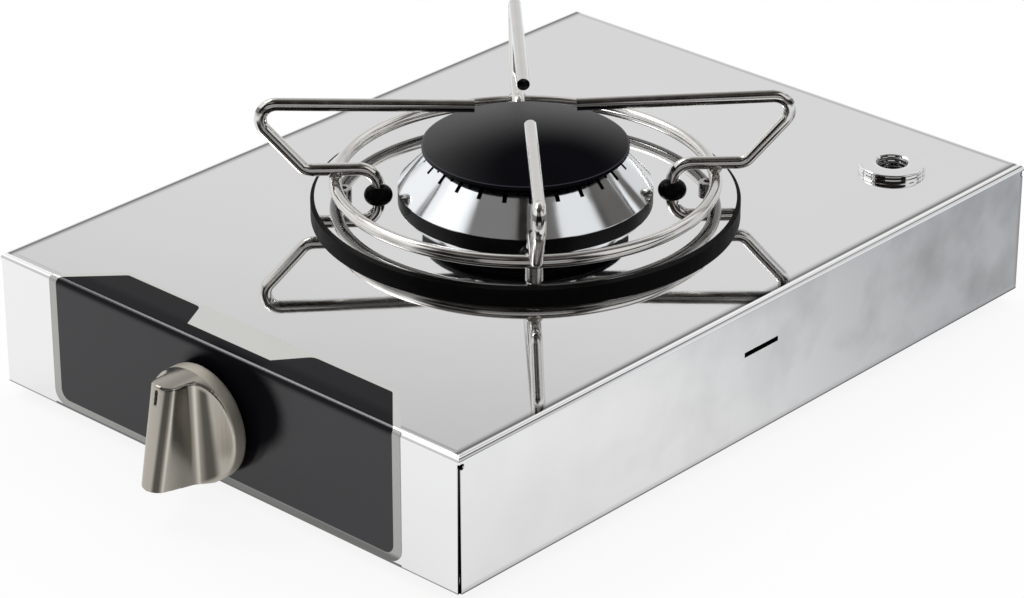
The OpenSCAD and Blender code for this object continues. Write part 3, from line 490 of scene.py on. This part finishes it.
def plain_metal(name, base, roughness):
    """Unpolished metal of screws, nuts, pipes and brackets."""
    f = Finish(name, base, 1.0, roughness)
    grain = f.noise(700, detail=4)
    f.tint(grain, shade(base, 0.85), shade(base, 1.08))
    f.polish(grain, roughness * 0.8, roughness * 1.3)
    f.bump((grain, 0.00001))
    return f.material


def wire_underside_shade(f):
    """Painted shade on the lower half of the pot support's ring and of its arms' level tops."""
    z, wire = f.axes()[2], RING_WIRE / MM
    ring, ring_z, top = RING_RADIUS / MM, middle("support_ring").z / MM, high("support_arm_front").z / MM
    on_ring = f.window(f.radius(BURNER), ring - wire - 0.1, ring + wire + 0.1, 0.1)
    under_ring = f.product(on_ring, f.span(z, ring_z - 0.1, ring_z - wire * 0.6))
    return f.most(under_ring, f.window(z, top - 2.1 * wire, top - 1.3 * wire, 0.4))


def drawn_wire(name, settings):
    """Polished drawn wire, with faint draw marks and mottling, and painted shade on its lower half."""
    base = tuple(settings.wire_colour)
    f = Finish(name, base, 1.0, settings.wire_roughness)
    mottle = f.noise(160, detail=4)
    fine = f.noise(1500, detail=2)
    clean = f.mix(mottle, shade(base, 0.92), shade(base, 1.04))
    # Painted shade darkens the lower half of the wire.
    f.tint(f.product(wire_underside_shade(f), 0.8), clean, shade(base, 0.1))
    f.polish(mottle, settings.wire_roughness * 0.7, settings.wire_roughness * 1.3)
    f.bump((mottle, 0.000005), (fine, 0.000001))
    return f.material


def turned_metal(name, base, roughness, pitch, depth):
    """Metal turned on a lathe about the burner's axis, with fine rings and a crown painted dark under the
    cap.
    """
    f = Finish(name, base, 1.0, roughness)
    radius, crown = f.radius(BURNER), 38.2
    rings = f.math("SINE", f.product(f.total(radius, f.axes()[2]), 2 * math.pi / pitch))
    cloud = f.noise(60, detail=3)
    clean = f.mix(cloud, shade(base, 0.94), shade(base, 1.02))
    f.tint(f.span(radius, crown, crown + 0.7), (0.006, 0.006, 0.006), clean)
    f.polish(cloud, roughness * 0.8, roughness * 1.3)
    f.bump((rings, depth), (cloud, 0.00001))
    return f.material


def knob_painted_bands(f):
    """Masks of the knob's painted dark bands, of its painted highlights on the ridges and upper skirt, and of
    its skirt.
    """
    x, y, z = f.axes()
    knob = middle("knob") / MM
    right = f.minus(x, knob.x)
    across = f.math("ABSOLUTE", right)
    out = f.math("SUBTRACT", FRONT_Y / MM, y)
    lift = f.span(z, 15, 55)

    def line(value, foot_at, top_at, foot_half, top_half, sharp):
        """A soft upright line, its place and half width changing from the knob's foot to its top."""
        off = f.math("ABSOLUTE", f.minus(value, f.toward(lift, foot_at, top_at)))
        half = f.toward(lift, foot_half, top_half)
        return f.span(f.math("DIVIDE", off, half), sharp, 1.4, 1.0, 0.0, smooth=True)

    skirt_front, rim, nose_top = 10.0, 23.2, 56.6
    skirt = f.span(out, skirt_front + 0.1, skirt_front - 0.4)
    before_skirt = f.span(out, skirt_front - 0.1, skirt_front + 0.3)
    from_axis = f.distance(right, f.minus(z, knob.z))
    wing = f.product(before_skirt, f.span(from_axis, rim - 1.6, rim, 1.0, 0.0))
    nose = f.product(f.span(out, 20.0, 21.0), f.span(z, nose_top - 0.6, nose_top, 1.0, 0.0))
    wall = f.span(out, 13.0, 14.0)
    flare = f.product(line(across, 12.2, 10.0, 4.1, 1.7, 0.25), wing)
    grip = f.product(line(right, 3.85, 4.65, 1.6, 1.2, 0.35), nose)
    hollow = f.product(line(across, 6.8, 6.7, 0.7, 0.7, 0.0), wall, 0.6)
    ridge = f.product(line(out, 31.9, 23.7, 0.7, 0.7, 0.0), f.span(right, 5.0, 5.8))
    root = f.product(line(across, 8.0, 7.6, 0.5, 0.5, 0.0), wall)
    # Painted reflections: dark bands on the flare, the grip and the hollow, and highlights on the ridge, the
    # root and the upper skirt.
    dull = f.product(f.most(flare, grip, hollow), 0.9)
    upper_skirt_highlight = f.product(skirt, f.span(z, 22.0, 40.0, 0.1, 0.55))
    bright = f.most(f.product(f.most(ridge, root), 0.4), upper_skirt_highlight)
    return dull, bright, skirt


def satin_nickel(name, settings):
    """Brushed, blasted nickel of the knob, its brushing upright, with painted dark bands and highlights in
    place of its reflections.
    """
    base, roughness = tuple(settings.knob_colour), settings.knob_roughness
    f = Finish(name, base, 1.0, roughness)
    brush = f.noise(2600, stretch=(1, 1, 0.06), detail=3)
    cloud = f.noise(90, detail=3)
    grain = f.math("MULTIPLY_ADD", brush, 0.5, f.product(cloud, 0.5))
    dull, bright, skirt = knob_painted_bands(f)
    plain = f.mix(grain, shade(base, 0.86), shade(base, 1.1))
    # The dull and bright masks paint reflections into the base colour as dark bands and highlights.
    f.tint(bright, f.mix(dull, plain, shade(base, 0.12)), shade(base, 2.1))
    rough = f.span(brush, 0.3, 0.7, roughness * 0.85, roughness * 1.2)
    f.feed(f.shader.inputs["Roughness"], f.toward(skirt, rough, 0.55))
    f.bump((brush, 0.00001), (cloud, 0.00001))
    return f.material


def cap_sheen(f):
    """Painted sheen of the cap, set as its specular level: strong toward its back left rim, almost none at
    the front.
    """
    x, y, _ = f.axes()
    east, north = f.minus(x, BURNER.x / MM), f.minus(y, BURNER.y / MM)
    # The sheen rises to the back, turned this far to the left, over this length.
    turned, reach = math.radians(42.57), 36
    far = f.total(f.product(east, -math.sin(turned) / reach), f.product(north, math.cos(turned) / reach))
    left = f.total(f.product(east, -math.cos(turned) / reach), f.product(north, -math.sin(turned) / reach))
    rim = f.product(f.squares(far, left), 0.6)
    return f.span(f.total(far, f.product(left, 0.35), rim), -0.3, 1.7, 0.0, 0.55, smooth=True)


def enamel(name, base, roughness, specular=0.2, sheen=None, rim_highlight=1.0):
    """Fired enamel with a slight orange peel and, if given, its own painted sheen and a painted highlight
    line along a rim like the cap's.
    """
    f = Finish(name, base, 0.0, roughness, Specular_IOR_Level=specular)
    if sheen:
        f.feed(f.shader.inputs["Specular IOR Level"], sheen(f))
    peel = f.noise(420, detail=2)
    speck = f.noise(1800, detail=3)
    rim = (high("burner_cap").x - BURNER.x) / MM
    # A painted highlight: a thin line round the cap's rim, lightened by the given factor.
    rim_highlight_line = f.window(f.radius(BURNER), rim - 0.7, rim - 0.1, 0.2)
    f.tint(rim_highlight_line, f.mix(speck, shade(base, 0.75), shade(base, 1.5)), shade(base, rim_highlight))
    f.polish(speck, roughness * 0.9, roughness * 1.12)
    f.bump((peel, 0.00004), (speck, 0.000006))
    return f.material


def rubber(name, base, roughness):
    """Moulded rubber with a dull, slightly dusty skin."""
    f = Finish(name, base, 0.0, roughness, Specular_IOR_Level=0.04)
    dust = f.noise(260, detail=5)
    f.tint(dust, shade(base, 0.7), shade(base, 1.6))
    f.polish(dust, roughness * 0.9, roughness * 1.1)
    f.bump((f.noise(1300, detail=3), 0.00001))
    return f.material


def printed_field(f, settings, across, depth, x, z):
    """Distance in millimetres out of the film's dark field, negative inside it."""

    def past(a, at_a, at_depth, angle):
        """Distance past a slanting line through (at_a, at_depth) along its outward direction."""
        return f.total(f.product(f.minus(a, at_a / MM), math.cos(angle)),
                       f.product(f.minus(depth, at_depth / MM), math.sin(angle)))

    s, corner = settings, settings.corner / MM
    side = f.minus(across, s.half_width / MM - corner)
    below = f.math("SUBTRACT", s.low_edge / MM + corner, z)
    outside = f.distance(f.most(side, 0.0), f.most(below, 0.0))
    inside = f.math("MINIMUM", f.most(side, below), 0.0)
    face = f.minus(f.total(outside, inside), corner)
    back = f.minus(depth, s.back_edge / MM)
    field = f.math("SMOOTH_MAX", f.most(face, back), past(across, s.cut_at, s.cut_depth, s.cut_turn), 1.0)
    notch = f.most(past(x, s.notch_left, s.notch_front, s.notch_left_turn),
                   past(x, s.notch_right, s.notch_front, s.notch_right_turn),
                   f.math("SUBTRACT", s.notch_front / MM, depth))
    return f.math("SMOOTH_MAX", field, f.product(notch, -1.0), 3.0)


def film_shine(f, depth, x, z):
    """Painted shine of the film: even on the front but dimmed round the knob by a painted shadow and
    reflection of it, strong on the bend as a painted highlight, low on top as a painted dark band.
    """
    top, bend = high("casing").z / MM, BEND / MM
    face = f.span(z, top - bend - 1.1, top - 0.6, 0.5, 0.05)
    # Middle, half width and half height of the dim patch round the knob, a painted shadow and reflection of
    # the knob
    patch_x, patch_z, wide, tall = 8.0, 46.0, 26.0, 19.0
    sideways = f.math("DIVIDE", f.minus(x, patch_x), wide)
    upward = f.math("DIVIDE", f.minus(z, patch_z), tall)
    outside_knob_shadow = f.span(f.squares(sideways, upward), 0.75, 1.5, smooth=True)
    # A painted highlight along the bend, and a painted dark band on the top behind it.
    rounding = f.product(f.window(depth, 0.75, 2.05, 0.3), 0.5)
    flat = f.span(depth, 2.4, 11.0, 0.012, 0.09)
    return f.most(f.product(face, outside_knob_shadow), rounding, flat)


def printed_film(name, settings):
    """Front panel film: a dark printed field with a pale bare border, and a bare notch at the back; the
    border is painted lighter on the top, as if lit, and is darker along its lower edge, more so to the right.
    """
    ink_colour, border_colour = tuple(settings.ink_colour), tuple(settings.border_colour)
    f = Finish(name, ink_colour, 0.0, 0.2, Specular_Tint=(0.96, 0.96, 1.0, 1.0))
    x, y, z = f.axes()
    depth = f.minus(y, FRONT_Y / MM)
    field = printed_field(f, settings, f.math("ABSOLUTE", x), depth, x, z)
    ink = f.span(field, -0.06, 0.06, 1.0, 0.0)
    # Painted light: the bare border is lighter on the top than on the front face.
    pale = f.mix(f.span(depth, 1.0, 3.0), border_colour, shade(border_colour, 1.65))
    lower = f.product(f.span(z, 9.2, 11.0, 1.0, 0.0), f.span(x, -95, 60, 0.1, 0.75))
    f.tint(ink, f.mix(lower, pale, shade(border_colour, 0.2)), ink_colour)
    f.feed(f.shader.inputs["Metallic"], f.span(ink, 0.0, 1.0, 0.55, 0.0))
    f.feed(f.shader.inputs["Specular IOR Level"], film_shine(f, depth, x, z))
    fine = f.noise(2200, detail=2)
    f.polish(fine, 0.16, 0.22)
    f.bump((fine, 0.000003))
    return f.material


def coat(nodes, material):
    """Gives CAD nodes a material."""
    for name in nodes:
        slots = NODES[name].data.materials
        slots.clear()
        slots.append(material)


# ---------------------------------------------------------------- meshes

def baked(holder):
    """The plain mesh of an object with its modifiers; the object itself goes."""
    bpy.context.scene.collection.objects.link(holder)
    graph = bpy.context.evaluated_depsgraph_get()
    finished = holder.evaluated_get(graph)
    mesh = bpy.data.meshes.new_from_object(finished, preserve_all_data_layers=True, depsgraph=graph)
    bpy.data.objects.remove(holder)
    return mesh


def add_piece(name, mesh, material, body):
    """Links a finished mesh, gives it its finish and lets it ride on a body."""
    obj = bpy.data.objects.new(name, mesh)
    bpy.context.scene.collection.objects.link(obj)
    mesh.materials.clear()
    mesh.materials.append(material)
    mesh.shade_smooth()
    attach(obj, body)
    return obj


def worn(node, grain, rounds):
    """A CAD node's mesh with its sharp edges worn round."""
    holder = bpy.data.objects.new(node + "_skin", NODES[node].data.copy())
    skin = holder.modifiers.new("skin", "REMESH")
    skin.mode = "VOXEL"
    skin.voxel_size = grain
    wear = holder.modifiers.new("wear", "SMOOTH")
    wear.factor = 0.5
    wear.iterations = rounds
    return baked(holder)


def weld_beads(settings, material):
    """Four uneven beads where the support's arms cross its ring."""
    g = Growth("support_welds", Joints=4, Radius=RING_RADIUS, Height=high("support_ring").z,
               Long=settings.weld_long, Wide=settings.weld_wide, High=settings.weld_high,
               Uneven=settings.weld_uneven, Lumps=settings.weld_lumps)
    joints, radius, height, long, wide, tall, uneven, lumps = g.inputs
    ring = g.named("GeometryNodeMeshCircle", Vertices=joints, Radius=radius)
    placed = g.named("GeometryNodeTransform", Geometry=ring.outputs[0], Rotation=(0, 0, math.pi / 4),
                     Translation=g.triple(BURNER.x, BURNER.y, height))
    ball = g.named("GeometryNodeMeshIcoSphere", Radius=1.0, Subdivisions=4)
    spot = g.add("GeometryNodeInputPosition").outputs[0]
    east, north, _ = g.split(spot)
    bearing = g.math("ARCTAN2", g.minus(north, BURNER.y), g.minus(east, BURNER.x))
    beads = g.named("GeometryNodeInstanceOnPoints", Points=placed.outputs[0], Instance=ball.outputs[0],
                    Rotation=g.triple(0.0, 0.0, bearing), Scale=g.triple(wide, long, tall))
    solid = g.add("GeometryNodeRealizeInstances", beads.outputs[0])
    noise = g.named("ShaderNodeTexNoise", Vector=spot, Scale=lumps, Detail=2.0)
    drift = g.add("ShaderNodeVectorMath", noise.outputs["Color"], (0.5, 0.5, 0.5), operation="SUBTRACT")
    push = g.named("ShaderNodeVectorMath", {"operation": "SCALE"}, Vector=drift.outputs[0], Scale=uneven)
    moved = g.named("GeometryNodeSetPosition", Geometry=solid.outputs[0], Offset=push.outputs[0])
    return g.grown(moved.outputs[0], material)


def thread_turns(settings, material):
    """The ridge that winds along the bush's hole."""
    centre, top = middle("threaded_bush"), high("threaded_bush").z
    threaded = (top - low("threaded_bush").z) * settings.thread_share
    g = Growth("bush_thread", Radius=BUSH_HOLE + settings.thread_wire * settings.thread_sunk, Depth=threaded,
               Turns=threaded / settings.thread_pitch, Ridge=settings.thread_wire)
    radius, depth, turns, ridge = g.inputs
    spiral = g.named("GeometryNodeCurveSpiral", Resolution=48, Rotations=turns, Height=depth,
                     Start_Radius=radius, End_Radius=radius)
    profile = g.named("GeometryNodeCurvePrimitiveCircle", Resolution=8, Radius=ridge)
    swept = g.named("GeometryNodeCurveToMesh", Curve=spiral.outputs[0], Profile_Curve=profile.outputs[0],
                    Fill_Caps=True)
    foot = g.minus(top - settings.thread_start, depth)
    placed = g.named("GeometryNodeTransform", Geometry=swept.outputs[0],
                     Translation=g.triple(centre.x, centre.y, foot))
    return g.grown(placed.outputs[0], material)


# ---------------------------------------------------------------- operators

# Nodes of each unpolished metal, then its name, colour and roughness
PLAIN_METALS = (
    (("base_plate",), "base_steel", (0.05, 0.05, 0.05), 0.5),
    (("injector_bracket", "tap_nut", "bush_nut", "foot_nuts", "plate_nuts", "burner_nuts", "plate_spacers",
      "foot_screws"), "plain_steel", (0.55, 0.55, 0.55), 0.35),
    (("plate_screws", "burner_screws", "bracket_screws", "tap_spindle", "valve_pin", "return_spring"),
     "screw_steel", (0.5, 0.49, 0.48), 0.25),
    (("base_screws", "knob_insert"), "blackened_steel", (0.09, 0.09, 0.095), 0.4),
    (("tap_body", "tap_plug", "injector_holder", "injector_nut", "injector_jet", "pipe_nuts", "inlet_fitting",
      "inlet_nut"), "machined_brass", (0.72, 0.52, 0.22), 0.25),
    (("feed_pipe", "inlet_pipe"), "drawn_copper", (0.68, 0.36, 0.22), 0.25),
)


class StoveOperator:
    """What all the operators share."""

    bl_options = {"REGISTER", "UNDO"}


class STOVE_OT_finish_metal(StoveOperator, bpy.types.Operator):
    """Polishes the casing, the round plate and the bush, and finishes the screws and hidden metal"""

    bl_idname = "stove.finish_metal"
    bl_label = "Finish the metal"

    def execute(self, context):
        s = context.scene.stove_metal
        coat(["casing"], polished_sheet("casing_sheet", s, marks=casing_shade_and_marks))
        coat(["burner_plate"], polished_sheet("round_plate_sheet", s, wave=0.4))
        turned = (bush_groove, bush_countersink)
        coat(["threaded_bush"], polished_sheet("bush_steel", s, wave=0.0, relief=turned))
        for nodes, name, base, roughness in PLAIN_METALS:
            coat(nodes, plain_metal(name, base, roughness))
        return {"FINISHED"}


class STOVE_OT_finish_burner(StoveOperator, bpy.types.Operator):
    """Finishes the burner body, the flame spreader, the cap and the rubber parts"""

    bl_idname = "stove.finish_burner"
    bl_label = "Finish the burner"

    def execute(self, context):
        cone = tuple(context.scene.stove_metal.cone_colour)
        coat(["flame_spreader"], turned_metal("turned_aluminium", cone, 0.1, pitch=0.45, depth=0.0000025))
        black = enamel("cap_enamel", (0.004, 0.004, 0.0052), 0.42, sheen=cap_sheen, rim_highlight=9.0)
        coat(["burner_cap"], black)
        coat(["burner_cup"], enamel("body_enamel", (0.003, 0.003, 0.003), 0.35, specular=0.12))
        coat(["riser_ring"], rubber("ring_rubber", (0.0025, 0.0025, 0.0025), 0.45))
        coat(["grommets"], rubber("grommet_rubber", (0.0025, 0.0025, 0.0025), 0.3))
        coat(["rubber_feet"], rubber("foot_rubber", (0.012, 0.012, 0.012), 0.6))
        return {"FINISHED"}


class STOVE_OT_finish_support(StoveOperator, bpy.types.Operator):
    """Finishes the wire pot support and adds its weld beads"""

    bl_idname = "stove.finish_support"
    bl_label = "Finish the pot support"

    def execute(self, context):
        arms = ["support_arm_" + place for place in ("front", "right", "back", "left")]
        coat(["support_ring", *arms], drawn_wire("support_wire", context.scene.stove_metal))
        weld = plain_metal("weld_metal", (0.5, 0.48, 0.45), 0.25)
        beads = weld_beads(context.scene.stove_detail, weld)
        add_piece("support_welds", beads, weld, "pot_support")
        return {"FINISHED"}


class STOVE_OT_cut_thread(StoveOperator, bpy.types.Operator):
    """Adds the thread turns in the bush"""

    bl_idname = "stove.cut_thread"
    bl_label = "Cut the bush's thread"

    def execute(self, context):
        steel = plain_metal("thread_steel", (0.3, 0.3, 0.3), 0.4)
        thread = thread_turns(context.scene.stove_detail, steel)
        add_piece("bush_thread", thread, steel, "stove")
        return {"FINISHED"}


class STOVE_OT_finish_panel(StoveOperator, bpy.types.Operator):
    """Prints the front panel and finishes the knob"""

    bl_idname = "stove.finish_panel"
    bl_label = "Finish the panel and knob"

    def execute(self, context):
        s = context.scene.stove_metal
        coat(["panel_film"], printed_film("panel_print", context.scene.stove_panel))
        nickel = satin_nickel("knob_nickel", s)
        coat(["knob"], nickel)
        mesh = worn("knob", s.knob_grain, s.knob_rounds)
        skin = add_piece("knob_skin", mesh, nickel, "tap_turn")
        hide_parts("knob")
        coat(["knob_pointer"], enamel("pointer_paint", (0.01, 0.01, 0.01), 0.4))
        return {"FINISHED"}


class STOVE_OT_stage(StoveOperator, bpy.types.Operator):
    """Lays the floor and sets the lamps, the world and the camera"""

    bl_idname = "stove.stage"
    bl_label = "Set the stage"

    def execute(self, context):
        s = context.scene.stove_stage
        make_floor(s)
        make_world(s)
        make_lamps(s)
        make_camera(s)
        context.scene.view_settings.view_transform = "Standard"
        return {"FINISHED"}


# ---------------------------------------------------------------- stage

# Brightness of the tent by the share of the way from the far horizon, over the top, to the camera's horizon
DOME = (
    (0.0, 0.8), (0.147, 0.76), (0.167, 0.58), (0.25, 0.42), (0.36, 0.22),
    (0.5, 0.06), (0.59, 0.02), (0.69, 0.009), (1.0, 0.005),
)
# Cards in the tent, each covering those above it in the list: azimuth from and to, elevation from and to and
# softness, all in degrees, then brightness. Azimuth is 0 toward the camera and 90 to the right of the view.
CARDS = (
    (-150, -65, 3, 52, 8, 1.0),
    (-178, -122, 38, 60, 8, 1.0),
    (-106, -68, 30, 50, 6, 1.2),
    (-68, -12, 47, 66, 6, 0.2),
    (12, 46, 48, 66, 6, 0.14),
    (45, 88, 15, 64, 8, 0.85),
    (88, 150, -5, 32, 6, 0.75),
    (106, 125, 37, 50, 4, 1.0),
    (130, 172, 33, 50, 8, 1.0),
    (92, 101, 22, 35, 3, 0.33),
    (98, 108, 33, 42, 3, 0.12),
    (105, 117, 25, 37, 3, 0.12),
    (124, 132, 14, 25, 3, 0.12),
    (119, 122, 20, 30, 2, 1.0),
    (-90, -74, 11, 20, 4, 0.4),
    (-119, -114, 22, 32, 2, 0.35),
    (-26, 26, 4, 23, 4, 0.45),
)
# Azimuth and elevation in degrees, width and height in metres, power in watts, whether metals show the lamp
LAMPS = {
    "key_lamp": (-127, 53, 0.9, 0.5, 9, True),
    "back_lamp": (150, 45, 1.0, 1.0, 8, False),
}
LAMP_DISTANCE = 2.2


def cleared(block):
    """The emptied node tree of a material or a world."""
    block.use_nodes = True
    block.node_tree.nodes.clear()
    return Nodes(block.node_tree)


def make_floor(s):
    """A white floor that keeps a soft shadow; metals show it darker before the stove and at its right."""
    half = s.floor_size / 2
    mesh = bpy.data.meshes.new("floor")
    corners = [(-half, -half, 0), (half, -half, 0), (half, half, 0), (-half, half, 0)]
    mesh.from_pydata(corners, [], [(0, 1, 2, 3)])
    floor = bpy.data.objects.new("floor", mesh)
    bpy.context.scene.collection.objects.link(floor)
    material = bpy.data.materials.new("floor_white")
    n = cleared(material)
    place = n.add("ShaderNodeTexCoord").outputs["Object"]
    x, y, _ = n.split(place)
    right, near = s.axes()
    # In metals it is dark before the stove, dim at the far left and, by the right side, dim to the back.
    before = n.span(n.dot(place, near), 0.3, 0.6, 1.0, 0.02, smooth=True)
    far_left = n.span(n.dot(place, right), -1.6, -0.8, 1.0, 0.0, smooth=True)
    level = n.toward(far_left, before, 0.4)
    strip = n.span(y, -0.06, 0.24, 0.9, 0.3, smooth=True)
    beside = n.toward(n.span(x, SIDE_X + 0.16, SIDE_X + 0.3), strip, 1.0)
    level = n.toward(n.span(x, SIDE_X, SIDE_X + 0.01), level, n.math("MINIMUM", level, beside))
    path = n.add("ShaderNodeLightPath").outputs
    in_metal = path["Is Glossy Ray"]
    cool = n.mix(n.product(in_metal, n.span(y, 0.0, 0.25)), (1, 1, 1), (0.9, 0.97, 1.04))
    paint = n.add("ShaderNodeBsdfDiffuse", (0.93, 0.93, 0.93, 1)).outputs[0]
    glow = n.add("ShaderNodeEmission", cool, n.toward(in_metal, 1.0, level)).outputs[0]
    # What doesn't glow is lit paint, which holds the shadow.
    glowing = n.toward(path["Is Camera Ray"], n.product(in_metal, 0.72), 0.88)
    shown = n.add("ShaderNodeMixShader", glowing, paint, glow).outputs[0]
    n.add("ShaderNodeOutputMaterial", shown)
    mesh.materials.append(material)


def make_world(s):
    """A white tent, which metals show bright at the far side and dark toward the camera, with its cards."""
    world = bpy.data.worlds.new("tent")
    bpy.context.scene.world = world
    n = cleared(world)
    way = n.add("ShaderNodeTexCoord").outputs["Generated"]
    right, near = (n.dot(way, axis) for axis in s.axes())
    up = n.split(way)[2]
    over = n.math("DIVIDE", n.math("ARCTAN2", up, n.product(near, -1.0)), math.pi)
    dome = n.add("ShaderNodeValToRGB", over)
    stops = dome.color_ramp.elements
    for place, _ in DOME[1:-1]:
        stops.new(place)
    for stop, (place, brightness) in zip(stops, DOME):
        stop.position = place
        stop.color = (brightness, brightness, brightness, 1)
    level = dome.outputs[0]
    azimuth = n.math("DEGREES", n.math("ARCTAN2", right, near))
    elevation = n.math("DEGREES", n.math("ARCSINE", up))
    for left_end, right_end, foot, top, soft, brightness in CARDS:
        card = n.product(n.window(azimuth, left_end, right_end, soft), n.window(elevation, foot, top, soft))
        level = n.toward(card, level, brightness)
    path = n.add("ShaderNodeLightPath").outputs
    lit = n.toward(path["Is Glossy Ray"], 0.8, level)
    strength = n.toward(path["Is Camera Ray"], lit, 1.0)
    warm = n.mix(n.span(strength, 0.03, 0.25), (1.12, 0.98, 0.86), (1, 1, 1))
    n.add("ShaderNodeOutputWorld", n.add("ShaderNodeBackground", warm, strength).outputs[0])


def direction(azimuth, elevation, s):
    """The way to a place from its angles, as seen from the stove."""
    right, near = s.axes()
    level = near * math.cos(azimuth) + right * math.sin(azimuth)
    return level * math.cos(elevation) + Vector((0, 0, math.sin(elevation)))


def make_lamps(s):
    """Two soft lamps behind the stove, at the left and at the right."""
    for name, (azimuth, elevation, width, height, power, seen) in LAMPS.items():
        way = direction(math.radians(azimuth), math.radians(elevation), s)
        data = bpy.data.lights.new(name, "AREA")
        data.shape = "RECTANGLE"
        data.size, data.size_y = width, height
        data.energy = power
        lamp = bpy.data.objects.new(name, data)
        lamp.location = way * LAMP_DISTANCE
        lamp.rotation_euler = way.to_track_quat("Z", "Y").to_euler()
        lamp.visible_glossy = seen
        bpy.context.scene.collection.objects.link(lamp)


def make_camera(s):
    """The camera, aimed beside a point at the middle of the stove's foot."""
    right = s.axes()[0]
    back = direction(0.0, s.camera_elevation, s)
    up = back.cross(right)
    foot = Vector((0, 0, 0.006))
    aim = foot + right * s.aim_right + up * s.aim_up
    data = bpy.data.cameras.new("camera")
    data.lens = s.lens
    data.sensor_width = 36
    data.clip_end = 50
    camera = bpy.data.objects.new("camera", data)
    facing = Matrix((right, up, back)).transposed().to_4x4()
    camera.matrix_world = Matrix.Translation(aim + back * s.camera_distance) @ facing
    bpy.context.scene.collection.objects.link(camera)
    bpy.context.scene.camera = camera


# ---------------------------------------------------------------- the add-on

class STOVE_PT_panel(bpy.types.Panel):
    """Lists the steps and their settings"""

    bl_idname = "STOVE_PT_panel"
    bl_label = "Stove"
    bl_space_type = "VIEW_3D"
    bl_region_type = "UI"
    bl_category = "Stove"

    def draw(self, context):
        for name in GROUPS:
            group = getattr(context.scene, name)
            box = self.layout.box()
            for setting in group.__annotations__:
                box.prop(group, setting)
        for step in STEPS:
            self.layout.operator(step.bl_idname)


STEPS = (STOVE_OT_stage, STOVE_OT_finish_metal, STOVE_OT_finish_burner, STOVE_OT_finish_support,
         STOVE_OT_cut_thread, STOVE_OT_finish_panel)
GROUPS = {
    "stove_metal": StoveMetalSettings, "stove_panel": StovePanelSettings,
    "stove_detail": StoveDetailSettings, "stove_stage": StoveStageSettings,
}
CLASSES = (*GROUPS.values(), *STEPS, STOVE_PT_panel)


def register():
    """Registers the classes and hangs the settings on the scene."""
    for item in CLASSES:
        bpy.utils.register_class(item)
    for name, group in GROUPS.items():
        setattr(bpy.types.Scene, name, bpy.props.PointerProperty(type=group))


def unregister():
    """Takes the settings and the classes away."""
    for name in GROUPS:
        delattr(bpy.types.Scene, name)
    for item in reversed(CLASSES):
        bpy.utils.unregister_class(item)


def main():
    """Registers the add-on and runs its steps."""
    register()
    for step in STEPS:
        group, action = step.bl_idname.split(".")
        getattr(getattr(bpy.ops, group), action)()


if __name__ == "__main__":
    main()
